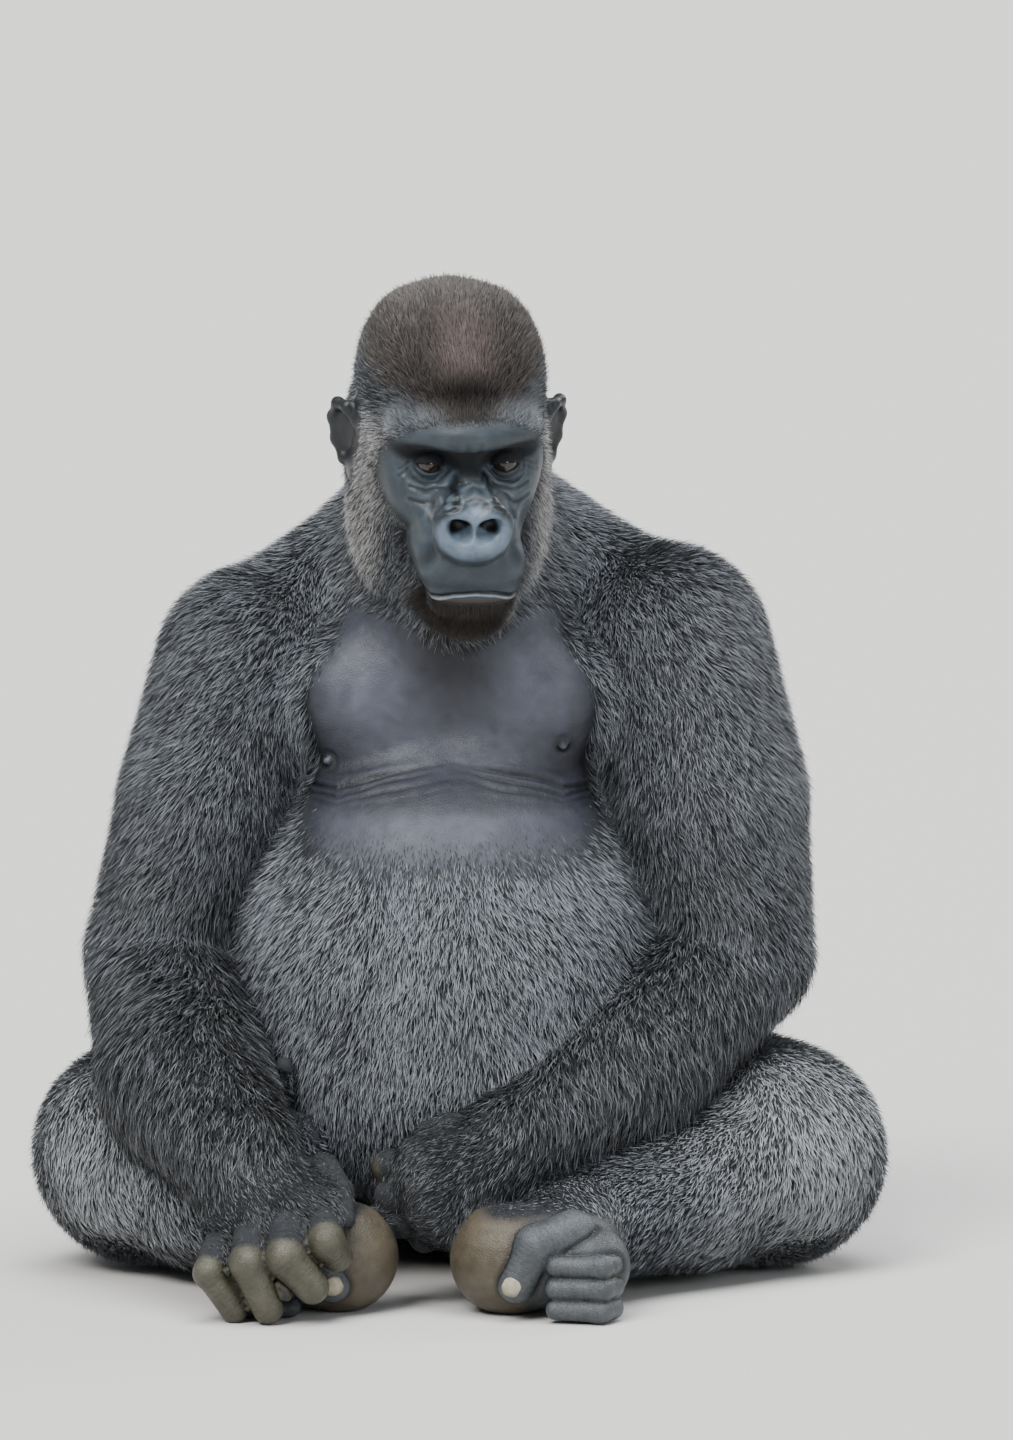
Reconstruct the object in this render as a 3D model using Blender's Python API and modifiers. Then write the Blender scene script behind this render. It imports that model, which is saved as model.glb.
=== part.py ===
"""Life-size still model of an adult male western lowland gorilla, sitting with its knees out to the sides,
its soles turned in and its arms resting on its legs.  Metres, +Z up.  It faces -Y, and its own left side is
towards +X.

The body is one closed surface: a smooth union of named masses (muscles, fat and coat).  Cells that follow
the limbs then part it into head, ears, trunk and the lengths of the limbs.  The surface is the outside of
the coat."""

import math

import bmesh
import bpy
import numpy as np
from mathutils import Euler, Matrix, Vector

# Driving dimensions
GAP = 0.0003  # clearance between neighbouring solids
FINE = 0.0055  # spacing of the surface before it is thinned
FIRST_TRIANGLES = 7600  # of the whole body, evenly thinned
BODY_TRIANGLES = 3620  # of the whole body, before it is parted
EAR_PAD, LIMB_PAD = 0.0035, 0.007  # how far a cell stands off the flesh it takes
SHADES = {  # colour and roughness
    "coat": ((0.050, 0.052, 0.056), 0.85),
    "head": ((0.042, 0.042, 0.044), 0.75),
    "hand": ((0.036, 0.034, 0.033), 0.70),
    "foot": ((0.110, 0.090, 0.068), 0.60),
    "ear": ((0.030, 0.032, 0.036), 0.55),
    "eye": ((0.060, 0.030, 0.014), 0.10),
}
EYE = {"apart": 0.0385, "aside": 0.0045, "front": -0.1005, "up": 0.0335, "radius": 0.0135}  # in the head's frame
SOFT, FIRM = 0.045, 0.022  # blend radii within flesh and at a joint
CREASE, TIGHT = 0.007, 0.006  # blend radii at a crease and along a limb

# Places of the joints, right side at -X, left side at +X
HEAD_AT = Vector((0.004, -0.136, 0.842))  # between the ear holes
HEAD_TILT, HEAD_YAW = math.radians(20), math.radians(8)
SHOULDER = {"right": Vector((-0.196, -0.025, 0.612)), "left": Vector((0.226, -0.025, 0.628))}
BICEPS = {"right": Vector((-0.245, -0.080, 0.475)), "left": Vector((0.270, -0.078, 0.480))}
ELBOW = {"right": Vector((-0.291, -0.085, 0.320)), "left": Vector((0.300, -0.085, 0.320))}
FOREARM = {"right": Vector((-0.262, -0.210, 0.212)), "left": Vector((0.186, -0.195, 0.224))}
WRIST = {"right": Vector((-0.205, -0.335, 0.150)), "left": Vector((0.068, -0.292, 0.157))}
HIP = {"right": Vector((-0.105, 0.150, 0.140)), "left": Vector((0.105, 0.150, 0.140))}
KNEE = {"right": Vector((-0.304, -0.100, 0.120)), "left": Vector((0.335, -0.100, 0.118))}
ANKLE = {"right": Vector((-0.150, -0.315, 0.074)), "left": Vector((0.132, -0.330, 0.076))}
HEEL = {"right": Vector((-0.096, -0.365, 0.055)), "left": Vector((0.058, -0.378, 0.055))}
BALL = {"right": Vector((-0.176, -0.372, 0.050)), "left": Vector((0.146, -0.408, 0.052))}
KNUCKLES = {"right": Vector((-0.170, -0.435, 0.070)), "left": Vector((-0.025, -0.345, 0.110))}
SIGN = {"right": -1, "left": 1}
UP = Vector((0, 0, 1))


# ---------------------------------------------------------------- masses and their distance fields
def ball(at, radii, turn=(0, 0, 0), blend=SOFT):
    """An ellipsoid, turned by degrees about X, Y and Z."""
    rotation = Euler([math.radians(a) for a in turn]).to_matrix()
    return {"at": Vector(at), "radii": Vector(radii), "rotation": rotation, "blend": blend}


def rod(start, end, r_start, r_end, blend=SOFT):
    """A limb with round ends that tapers from one radius to another."""
    return {"start": Vector(start), "end": Vector(end), "r": (r_start, r_end), "blend": blend}


def chain(points, radii, blend=TIGHT):
    """Rods end to end through the points."""
    steps = zip(points, points[1:], radii, radii[1:])
    return [rod(a, b, ra, rb, blend) for a, b, ra, rb in steps]


def distance(mass, points):
    """Signed distance from the points to one mass, negative inside."""
    if "radii" in mass:
        local = (points - np.array(mass["at"])) @ np.array(mass["rotation"])
        radii = np.array(mass["radii"])
        inner = np.linalg.norm(local / radii, axis=1)
        outer = np.linalg.norm(local / radii**2, axis=1)
        return inner * (inner - 1) / np.maximum(outer, 1e-9)
    start, axis = np.array(mass["start"]), np.array(mass["end"] - mass["start"])
    along = np.clip((points - start) @ axis / (axis @ axis), 0, 1)
    radius = mass["r"][0] + (mass["r"][1] - mass["r"][0]) * along
    return np.linalg.norm(points - start - along[:, None] * axis, axis=1) - radius


def blended(a, b, radius):
    """Smooth union of two distance fields."""
    share = np.maximum(radius - np.abs(a - b), 0) / radius
    return np.minimum(a, b) - share**2 * radius / 4


def field(masses, points):
    """Smooth union of a list of masses."""
    total = distance(masses[0], points)
    for mass in masses[1:]:
        total = blended(total, distance(mass, points), mass["blend"])
    return total


# ---------------------------------------------------------------- the head, in its own frame: face to -Y
def head_masses():
    """Skull, crest, brow, cheeks, muzzle and jaw, with their coat."""
    masses = [
        ball((0, 0.006, 0.074), (0.093, 0.112, 0.094), blend=0.02),  # braincase
        ball((0, 0.018, 0.116), (0.058, 0.088, 0.060), (-6, 0, 0), 0.03),  # crest
        ball((0, -0.064, 0.092), (0.066, 0.050, 0.046), (20, 0, 0), 0.03),  # forehead
        ball((0, 0.072, -0.010), (0.102, 0.080, 0.115), blend=0.04),  # nape muscles
        ball((0.004, -0.118, -0.046), (0.056, 0.062, 0.056), blend=0.02),  # muzzle
        rod((-0.018, -0.149, -0.0555), (0.033, -0.149, -0.0555), 0.0290, 0.0290, 0.012),  # upper lip
        rod((-0.021, -0.1555, -0.089), (0.038, -0.1555, -0.089), 0.0190, 0.0190, 0.012),  # lower lip
        ball((0.011, -0.126, -0.106), (0.045, 0.047, 0.044), blend=0.016),  # chin
        ball((0, -0.094, 0.030), (0.034, 0.040, 0.044), blend=0.02),  # root of the nose
        rod((0.003, -0.114, 0.048), (0.003, -0.158, 0.018), 0.013, 0.018, 0.02),  # bridge of the nose
        ball((0.003, -0.164, 0.002), (0.032, 0.024, 0.027), blend=0.012),  # nose pad
        ball((0.004, -0.164, -0.028), (0.030, 0.024, 0.024), blend=0.016),  # lip below the nose
    ]
    for side in (-1, 1):
        masses += [
            ball((side * 0.044, 0.006, 0.094), (0.047, 0.086, 0.070), blend=0.03),  # temple muscle
            ball((side * 0.064, -0.020, -0.036), (0.042, 0.064, 0.106), blend=0.03),  # jaw muscle
            ball((side * 0.058, -0.054, 0.030), (0.033, 0.046, 0.044), blend=0.02),  # temple
            rod((side * 0.058, -0.092, 0.073), (side * 0.010, -0.120, 0.077), 0.018, 0.020, 0.02),  # brow
            ball((side * 0.047, -0.090, -0.002), (0.028, 0.032, 0.036), blend=0.02),  # cheekbone
            rod((side * 0.055 + 0.004, 0.006, -0.088), (side * 0.022 + 0.010, -0.100, -0.120), 0.036, 0.029, 0.03),  # jaw
            ball((side * 0.0225 + 0.003, -0.170, 0.002), (0.018, 0.016, 0.0235), (0, side * -14, 0), 0.006),  # nostril
        ]
    return masses


def head_hollows():
    """Orbits, nostrils and the line of the mouth, taken out of the head."""
    hollows = [rod((-0.043, -0.184, -0.0755), (0.055, -0.184, -0.0755), 0.0035, 0.0035)]
    for side in (-1, 1):
        hollows += [
            ball((side * 0.040 + EYE["aside"], -0.128, 0.037), (0.028, 0.028, 0.0165), (0, side * 6, side * 14)),
            ball((side * 0.0165 + 0.003, -0.188, 0.002), (0.0115, 0.012, 0.0085), (0, side * -28, 0)),
        ]
    return hollows


def head_frame():
    """Where the head's own frame lies in the body's."""
    turn = Matrix.Rotation(HEAD_YAW, 4, "Z") @ Matrix.Rotation(HEAD_TILT, 4, "X")
    return Matrix.Translation(HEAD_AT) @ turn


def placed(masses, frame):
    """Masses moved from a frame of their own into the body's."""
    turn = frame.to_3x3()
    moved = []
    for mass in masses:
        copy = dict(mass)
        for key in ("at", "start", "end"):
            if key in mass:
                copy[key] = frame @ mass[key]
        if "rotation" in mass:
            copy["rotation"] = turn @ mass["rotation"]
        moved.append(copy)
    return moved


def ear_masses(side):
    """The shell of an ear, in the head's frame: a rim round a hollow, and the lobe."""
    s = SIGN[side]
    rim = [(0.097, -0.012, 0.040), (0.105, -0.004, 0.052), (0.113, 0.010, 0.050), (0.116, 0.018, 0.031),
           (0.112, 0.014, 0.008), (0.105, 0.002, -0.008), (0.098, -0.008, -0.006)]
    return chain([(s * x, y, z) for x, y, z in rim], [0.0062] * len(rim)) + [
        ball((s * 0.102, 0.008, 0.022), (0.009, 0.014, 0.028), (0, 0, s * -40), TIGHT)]


# ---------------------------------------------------------------- trunk and limbs
def trunk_masses():
    masses = [
        ball((0.004, 0.040, 0.460), (0.215, 0.185, 0.215)),  # rib cage
        ball((0.000, -0.070, 0.318), (0.226, 0.228, 0.228)),  # belly
        ball((-0.004, -0.110, 0.200), (0.180, 0.165, 0.145)),  # lower belly
        ball((0.012, -0.005, 0.588), (0.205, 0.145, 0.135)),  # chest
        ball((0, 0.125, 0.165), (0.205, 0.165, 0.165)),  # hips
        ball((0, 0.120, 0.300), (0.190, 0.150, 0.170)),  # loins
        ball((0.004, 0.140, 0.440), (0.185, 0.105, 0.250), (8, 0, 0)),  # back
        ball((0.016, 0.055, 0.690), (0.150, 0.110, 0.115)),  # hump of the upper back
    ]
    for side, (x, y, z) in SHOULDER.items():
        s = SIGN[side]
        masses += [
            ball((s * 0.080 + 0.008, -0.082, 0.592), (0.110, 0.070, 0.080), (-10, 0, 0), 0.016),  # breast
            ball((s * 0.145, 0.070, 0.470), (0.100, 0.110, 0.200)),  # flank muscle
            ball((s * 0.095, 0.190, 0.118), (0.115, 0.110, 0.118)),  # buttock
            rod((s * 0.060 + 0.016, 0.030, 0.735), (x * 0.95, y + 0.02, z + 0.012), 0.076, 0.088),  # yoke
        ]
    return masses


def neck_masses():
    return [
        rod((0.006, 0.020, 0.680), HEAD_AT + Vector((0, 0.040, -0.030)), 0.120, 0.104),
        rod((0.006, -0.070, 0.630), HEAD_AT + Vector((0.006, -0.014, -0.100)), 0.070, 0.066),
    ]


def upper_arm_masses(side):
    wide = {"right": (0.104, 0.094, 0.083), "left": (0.112, 0.106, 0.085)}[side]
    return chain([SHOULDER[side], BICEPS[side], ELBOW[side]], wide)


def forearm_masses(side):
    wide = {"right": (0.083, 0.096, 0.070), "left": (0.083, 0.090, 0.056)}[side]
    return chain([ELBOW[side], FOREARM[side], WRIST[side]], wide)


def thigh_masses(side):
    a, b = HIP[side], KNEE[side]
    return chain([a, a.lerp(b, 0.5), b], (0.140, 0.126, 0.119))


def shin_masses(side):
    a, b = KNEE[side], ANKLE[side]
    calf = a.lerp(b, 0.42) + Vector((0, 0, -0.008))
    return chain([a, calf, b], (0.108, 0.086, 0.054))


def hand_right():
    """Palm and digits of the right hand, lying on the right foot with its fingers bent down to the floor."""
    wrist = WRIST["right"]
    fingers = {  # knuckle, bend, tip and half width
        "index": ((-0.122, -0.405, 0.112), (-0.1155, -0.447, 0.083), (-0.105, -0.436, 0.066), 0.0180),
        "middle": ((-0.155, -0.414, 0.110), (-0.1565, -0.458, 0.068), (-0.130, -0.454, 0.038), 0.0198),
        "ring": ((-0.190, -0.412, 0.102), (-0.194, -0.456, 0.062), (-0.174, -0.452, 0.016), 0.0180),
        "little": ((-0.220, -0.398, 0.090), (-0.233, -0.440, 0.050), (-0.208, -0.438, 0.012), 0.0155),
    }
    palm = [rod(wrist, knuckle, 0.046, 0.024, FIRM) for knuckle, _, _, _ in fingers.values()]
    thumb_at = [(-0.122, -0.355, 0.140), (-0.102, -0.395, 0.124), (-0.096, -0.424, 0.100)]
    digits = {name: chain([a, b, c], [r * 1.05, r, r * 0.90]) for name, (a, b, c, r) in fingers.items()}
    return palm, digits | {"thumb": chain(thumb_at, [0.020, 0.014, 0.010])}


def hand_left():
    """Palm and digits of the left hand, closed in the lap with its back to the front."""
    wrist = WRIST["left"]
    fingers = {  # knuckle, bend, tip and half width
        "index": ((-0.018, -0.350, 0.150), (-0.053, -0.336, 0.140), (-0.046, -0.298, 0.132), 0.0180),
        "middle": ((-0.016, -0.364, 0.127), (-0.050, -0.346, 0.112), (-0.040, -0.308, 0.106), 0.0190),
        "ring": ((-0.008, -0.364, 0.103), (-0.038, -0.346, 0.088), (-0.026, -0.310, 0.084), 0.0180),
        "little": ((0.006, -0.354, 0.084), (-0.018, -0.338, 0.070), (-0.006, -0.308, 0.068), 0.0165),
    }
    palm = [rod(wrist, knuckle, 0.044, 0.030, FIRM) for knuckle, _, _, _ in fingers.values()]
    thumb_at = [(0.034, -0.318, 0.172), (0.006, -0.334, 0.180), (-0.018, -0.336, 0.176)]
    digits = {name: chain([a, b, c], [r * 1.10, r, r * 0.92]) for name, (a, b, c, r) in fingers.items()}
    return palm, digits | {"thumb": chain(thumb_at, [0.022, 0.016, 0.012])}


def foot(side):
    """A foot that lies on its outer edge, with its sole to the front and its toes folded over the sole."""
    heel, ball_at, ankle = HEEL[side], BALL[side], ANKLE[side]
    along = Vector((ball_at.x - heel.x, ball_at.y - heel.y, 0)).normalized()
    front = Vector((along.y, -along.x, 0)) * SIGN[side]  # the way the sole faces
    sole = [
        ball(heel, (0.046, 0.046, 0.052), blend=FIRM),
        rod(heel, heel.lerp(ball_at, 0.55), 0.046, 0.042, FIRM),
        rod(heel.lerp(ball_at, 0.5), ball_at, 0.042, 0.041, TIGHT),
        rod(ankle, heel.lerp(ball_at, 0.25), 0.052, 0.046, FIRM),
    ]
    hallux = [
        ball_at - along * 0.014 + front * 0.010 + UP * 0.034,
        ball_at - along * 0.044 + front * 0.036 + UP * 0.022,
        ball_at - along * 0.062 + front * 0.045 - UP * 0.016,
    ]
    toes = {"big_toe": chain(hallux, [0.0240, 0.0215, 0.0180])}
    heights, girths, tucks = (0.005, -0.017, -0.0385, -0.0385), (0.011, 0.0122, 0.0118, 0.0105), (0, 0, 0, 0.026)
    for number, height, girth, tuck in zip((2, 3, 4, 5), heights, girths, tucks):
        base = ball_at + along * (0.028 - tuck * 0.3) + front * (0.014 - tuck) + UP * height
        bend = base + front * 0.024 - along * 0.004
        tip = base + front * 0.032 - along * (0.048 - tuck * 0.5)
        toes[f"toe_{number}"] = chain([base, bend, tip], [girth * 1.05, girth, girth * 0.86])
    return sole, toes


# ---------------------------------------------------------------- the whole body
HANDS = {"right": hand_right(), "left": hand_left()}
FEET = {side: foot(side) for side in SIGN}
HEAD = placed(head_masses(), head_frame())
HOLLOWS = placed(head_hollows(), head_frame())
EARS = {side: placed(ear_masses(side), head_frame()) for side in SIGN}


def arm_field(side, points):
    palm, digits = HANDS[side]
    arm = blended(field(upper_arm_masses(side), points), field(forearm_masses(side), points), TIGHT)
    arm = blended(arm, field(palm, points), FIRM)
    for digit in digits.values():
        arm = blended(arm, field(digit, points), CREASE)
    return arm


def leg_field(side, points):
    sole, toes = FEET[side]
    leg = blended(field(thigh_masses(side), points), field(shin_masses(side), points), FIRM)
    leg = blended(leg, field(sole, points), FIRM)
    for toe in toes.values():
        leg = blended(leg, field(toe, points), CREASE)
    return leg


def body_field(points):
    """The whole animal, with its joints blended and its creases kept where limbs only touch."""
    head = field(HEAD, points)
    for hollow in HOLLOWS:
        head = -blended(-head, distance(hollow, points), TIGHT)
    core = blended(field(trunk_masses(), points), field(neck_masses(), points), SOFT)
    for side in SIGN:
        core = blended(core, field(upper_arm_masses(side)[:1], points), FIRM)
        core = blended(core, field(thigh_masses(side), points), FIRM)
    core = blended(core, head, FIRM)
    for side in SIGN:
        core = blended(core, field(EARS[side], points), TIGHT)
        core = blended(core, arm_field(side, points), CREASE)
        core = blended(core, leg_field(side, points), CREASE)
    return core


# ---------------------------------------------------------------- from the masses to a mesh
def all_masses():
    """Every mass of the body, for the rough block-out that the fields then shape."""
    masses = HEAD + trunk_masses() + neck_masses()
    for side in SIGN:
        palm, digits = HANDS[side]
        sole, toes = FEET[side]
        masses += upper_arm_masses(side) + forearm_masses(side) + thigh_masses(side) + shin_masses(side)
        masses += palm + sole + EARS[side]
        for digit in (*digits.values(), *toes.values()):
            masses += digit
    return masses


def block_out(name, masses):
    """A mesh object with a stretched ball for each mass."""
    ball_mesh = bmesh.new()
    bmesh.ops.create_uvsphere(ball_mesh, u_segments=22, v_segments=14, radius=1)
    unit = np.array([v.co for v in ball_mesh.verts])
    faces = [[v.index for v in face.verts] for face in ball_mesh.faces]
    ball_mesh.free()
    points, polygons = [], []
    for mass in masses:
        if "radii" in mass:
            shell = (unit * np.array(mass["radii"])) @ np.array(mass["rotation"]).T + np.array(mass["at"])
        else:
            axis = mass["end"] - mass["start"]
            turn = np.array(axis.to_track_quat("Z", "Y").to_matrix())
            far = unit[:, 2:] > 0
            centre = np.where(far, np.array(mass["end"]), np.array(mass["start"]))
            shell = (unit * np.where(far, mass["r"][1], mass["r"][0])) @ turn.T + centre
        polygons += [[index + len(points) * len(unit) for index in face] for face in faces]
        points.append(shell)
    data = bpy.data.meshes.new(name)
    data.from_pydata(np.concatenate(points).tolist(), [], polygons)
    made = bpy.data.objects.new(name, data)
    bpy.context.scene.collection.objects.link(made)
    return made


def apply_modifier(item, kind, **settings):
    """Adds a modifier with these settings and applies it."""
    modifier = item.modifiers.new(kind.title(), kind)
    for key, value in settings.items():
        setattr(modifier, key, value)
    with bpy.context.temp_override(object=item, active_object=item, selected_objects=[item]):
        bpy.ops.object.modifier_apply(modifier=modifier.name)


def places(item):
    found = np.empty(len(item.data.vertices) * 3, np.float32)
    item.data.vertices.foreach_get("co", found)
    return found.reshape(-1, 3).astype(np.float64)


def snap(item, shape, rounds=4, level=0.0):
    """Moves the mesh along its normals onto the level set of a distance field."""
    for _ in range(rounds):
        at = places(item)
        normals = np.empty(len(at) * 3, np.float32)
        item.data.vertex_normals.foreach_get("vector", normals)
        step = np.clip(shape(at) - level, -0.02, 0.02)
        at -= normals.reshape(-1, 3) * step[:, None]
        item.data.vertices.foreach_set("co", at.astype(np.float32).ravel())
        item.data.update()


def body_surface():
    """The whole body as one fine closed mesh on its field."""
    body = block_out("body", all_masses())
    for spacing in (FINE * 1.6, FINE):
        apply_modifier(body, "REMESH", mode="VOXEL", voxel_size=spacing)
        snap(body, body_field)
    apply_modifier(body, "SMOOTH", factor=0.5, iterations=2)
    snap(body, body_field, rounds=1)
    return body


# ---------------------------------------------------------------- parting the body
def shell(stations, grown, sides=12):
    """A closed convex mesh through rings at the stations.

    A station is a place, a radius and the way that its ring faces.  The first and last rings, which close
    the shell, move outwards with the growth as the sides do."""
    mesh = bmesh.new()
    reach = 1 / math.cos(math.pi / sides)
    for number, (place, radius, facing) in enumerate(stations):
        axis = Vector(facing).normalized()
        push = {0: -grown, len(stations) - 1: grown}.get(number, 0)
        turn = axis.to_track_quat("Z", "Y").to_matrix().to_4x4()
        matrix = Matrix.Translation(Vector(place) + axis * push) @ turn
        bmesh.ops.create_circle(mesh, segments=sides, radius=(radius + grown) * reach, matrix=matrix)
    hull = bmesh.ops.convex_hull(mesh, input=mesh.verts[:])
    spare = [item for item in set(hull["geom_interior"] + hull["geom_unused"]) if item.is_valid]
    bmesh.ops.delete(mesh, geom=[v for v in spare if isinstance(v, bmesh.types.BMVert)], context="VERTS")
    loose = [edge for edge in mesh.edges if not edge.link_faces]
    bmesh.ops.delete(mesh, geom=loose, context="EDGES")
    bmesh.ops.dissolve_limit(mesh, angle_limit=0.01, verts=mesh.verts[:], edges=mesh.edges[:])
    bmesh.ops.recalc_face_normals(mesh, faces=mesh.faces[:])
    return new_object("cell", mesh)


def new_object(name, mesh):
    """An object in the scene from a bmesh, which it frees."""
    data = bpy.data.meshes.new(name)
    mesh.to_mesh(data)
    mesh.free()
    made = bpy.data.objects.new(name, data)
    bpy.context.scene.collection.objects.link(made)
    return made


def combine(item, other, operation):
    """One Boolean, which uses up the second object.

    The EXACT solver loses the whole of the thinned body, which folds onto itself in its creases."""
    apply_modifier(item, "BOOLEAN", operation=operation, object=other, solver="MANIFOLD")
    bpy.data.objects.remove(other)


def keep_largest(item):
    """Leaves only the biggest connected body of a mesh."""
    mesh = bmesh.new()
    mesh.from_mesh(item.data)
    bmesh.ops.remove_doubles(mesh, verts=mesh.verts[:], dist=0.00002)
    bmesh.ops.dissolve_degenerate(mesh, edges=mesh.edges[:], dist=0.00002)
    unseen, best = set(mesh.verts), []
    while unseen:
        body, front = [], [unseen.pop()]
        while front:
            vert = front.pop()
            body.append(vert)
            near = {edge.other_vert(vert) for edge in vert.link_edges} & unseen
            unseen -= near
            front += near
        best = max(best, body, key=len)
    crumbs = set(mesh.verts) - set(best)
    bmesh.ops.delete(mesh, geom=list(crumbs), context="VERTS")
    bmesh.ops.dissolve_limit(mesh, angle_limit=0.004, verts=mesh.verts[:], edges=mesh.edges[:])
    bmesh.ops.triangulate(mesh, faces=mesh.faces[:])
    mesh.to_mesh(item.data)
    mesh.free()


def cell(shells, grown, sides):
    """The union of some shells, all grown alike."""
    whole = shell(shells[0], grown, sides)
    for stations in shells[1:]:
        combine(whole, shell(stations, grown, sides), "UNION")
    return whole


def part_off(name, body, shells, pad, sides=8):
    """Cuts what lies in the shells off the body, and gives it back as a new object."""
    piece = body.copy()
    piece.data = body.data.copy()
    piece.name = name
    bpy.context.scene.collection.objects.link(piece)
    combine(piece, cell(shells, pad, sides), "INTERSECT")
    combine(body, cell(shells, pad + GAP, sides), "DIFFERENCE")
    keep_largest(piece)
    keep_largest(body)
    return piece


def run(masses, first=0.0, last=0.0):
    """Stations along a chain of rods, with its ends drawn out by these lengths."""
    places = [masses[0]["start"]] + [mass["end"] for mass in masses]
    radii = [masses[0]["r"][0]] + [mass["r"][1] for mass in masses]
    facings = [b - a for a, b in zip(places, places[1:])]
    middle = [a.normalized() + b.normalized() for a, b in zip(facings, facings[1:])]
    facings = [facings[0], *middle, facings[-1]]
    places[0] = places[0] - facings[0].normalized() * first
    places[-1] = places[-1] + facings[-1].normalized() * last
    return list(zip(places, radii, facings))


def both_ways(bones, reach):
    """Two crossed rings round each end of each bone."""
    return [(bone[end], bone["r"][index], way) for bone in bones for index, end in enumerate(("start", "end"))
            for way in (reach, UP)]


def limb_shells(side):
    """The shells of one side's limb lengths, from the far ends inwards, by name."""
    s = SIGN[side]
    palm, digits = HANDS[side]
    wrist, shoulder, arm = WRIST[side], SHOULDER[side], ELBOW[side] - SHOULDER[side]
    reach = sum((bone["end"] for bone in palm), Vector()) / len(palm) - wrist
    fingers = [bone for name, bones in digits.items() if name != "thumb" for bone in bones]
    palm_rings = [(wrist, 0.058, reach)] + both_ways(palm + digits["thumb"], reach)
    outward = Vector((s * 0.85, 0.10, -0.50))
    upper = [(shoulder - outward * 0.050, 0.125, outward), (shoulder + outward * 0.030, 0.120, outward),
             (BICEPS[side], 0.112, arm), (ELBOW[side] + arm * 0.28, 0.092, arm)]
    heel, ball_at, ankle = HEEL[side], BALL[side], ANKLE[side]
    shin_way = ankle - KNEE[side]
    front = Vector((ball_at.y - heel.y, heel.x - ball_at.x, 0)).normalized() * s
    foot_rings = [(ankle - front * 0.006, 0.060, shin_way)]
    for at in (heel, ball_at + UP * 0.006):
        foot_rings += [(at + front * out, 0.058, front) for out in (-0.035, 0.062)]
    return {
        "hand": [palm_rings, both_ways(fingers, reach)],
        "forearm": [run(forearm_masses(side), first=-0.010, last=0.030)],
        "upper_arm": [upper],
        "foot": [foot_rings],
        "shin": [run(shin_masses(side), first=-0.095, last=0.030)],
        "thigh": [run(thigh_masses(side), first=-0.085, last=0.135)],
    }


def head_shells():
    """The head down to the chin, without the nape."""
    frame, turn = head_frame(), head_frame().to_3x3()
    levels = [(-0.158, -0.100, 0.075), (-0.060, -0.072, 0.140), (0.040, -0.022, 0.150), (0.120, -0.012, 0.132),
              (0.195, 0.010, 0.075)]
    return [[(frame @ Vector((0, y, z)), radius, turn @ Vector((0, 0, 1))) for z, y, radius in levels]]


def above(place, facing, radius=0.6, height=0.8):
    """A broad shell on one side of a plane."""
    axis = Vector(facing).normalized()
    return [[(Vector(place), radius, axis), (Vector(place) + axis * height, radius, axis)]]


TRUNK_SHELLS = {
    "neck": [[((0.006, -0.010, 0.690), 0.125, (0, -0.35, 1)), ((0.006, -0.100, 0.950), 0.200, (0, -0.35, 1))]],
    "chest": above((0, -0.150, 0.512), (0, 0.14, 1)),
    "abdomen": above((0, -0.250, 0.100), (0, -0.40, 1)),
}


def eye_at(side):
    return head_frame() @ Vector((SIGN[side] * EYE["apart"] + EYE["aside"], EYE["front"], EYE["up"]))


def eye_ball(name, side, grown):
    mesh = bmesh.new()
    place = Matrix.Translation(eye_at(side))
    bmesh.ops.create_uvsphere(mesh, u_segments=10, v_segments=7, radius=EYE["radius"] + grown, matrix=place)
    return new_object(name, mesh)


def parted(body):
    """Every node of the animal, cut off the body one after another."""
    nodes = []
    for side in ("right", "left"):
        for name, shells in limb_shells(side).items():
            nodes.append(part_off(f"{name}_{side}", body, shells, LIMB_PAD))
        nodes.append(part_off(f"ear_{side}", body, [run(EARS[side][:6])], EAR_PAD, 6))
    head = part_off("head", body, head_shells(), LIMB_PAD, 12)
    for side in SIGN:
        combine(head, eye_ball("socket", side, GAP), "DIFFERENCE")
        nodes.append(eye_ball(f"eye_{side}", side, 0))
    nodes.append(head)
    for name, shells in TRUNK_SHELLS.items():
        nodes.append(part_off(name, body, shells, 0))
    body.name = "hips"
    return nodes + [body]


# ---------------------------------------------------------------- the model
def thin_out(body):
    """Takes the fine surface down to its triangle count in two steps.  The second spares face, hands and feet."""
    fine_work = [(head_frame() @ Vector((0, -0.14, -0.01)), 0.095)]
    for side in SIGN:
        fine_work += [(middle, 0.085) for middle in (HEEL[side].lerp(BALL[side], 0.6), KNUCKLES[side])]
    for count in (FIRST_TRIANGLES, BODY_TRIANGLES):
        now = sum(len(face.vertices) - 2 for face in body.data.polygons)
        apply_modifier(body, "DECIMATE", ratio=count / now, vertex_group="plain")
        at = places(body)
        away = [np.linalg.norm(at - np.array(place), axis=1) / reach for place, reach in fine_work]
        group = body.vertex_groups.get("plain") or body.vertex_groups.new(name="plain")
        group.remove(np.arange(len(at)).tolist())
        group.add(np.flatnonzero(np.min(away, axis=0) > 1).tolist(), 1, "REPLACE")


def colour(item):
    """Gives a node the material of what shows most on it: coat, bare skin or eye."""
    kind = next((kind for kind in ("eye", "hand", "foot", "head", "ear") if item.name.startswith(kind)), "coat")
    shade, roughness = SHADES[kind]
    material = bpy.data.materials.get(kind) or bpy.data.materials.new(kind)
    material.use_nodes = True
    shader = material.node_tree.nodes["Principled BSDF"]
    shader.inputs["Base Color"].default_value = (*shade, 1)
    shader.inputs["Roughness"].default_value = roughness
    item.data.materials.clear()
    item.data.materials.append(material)


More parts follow.
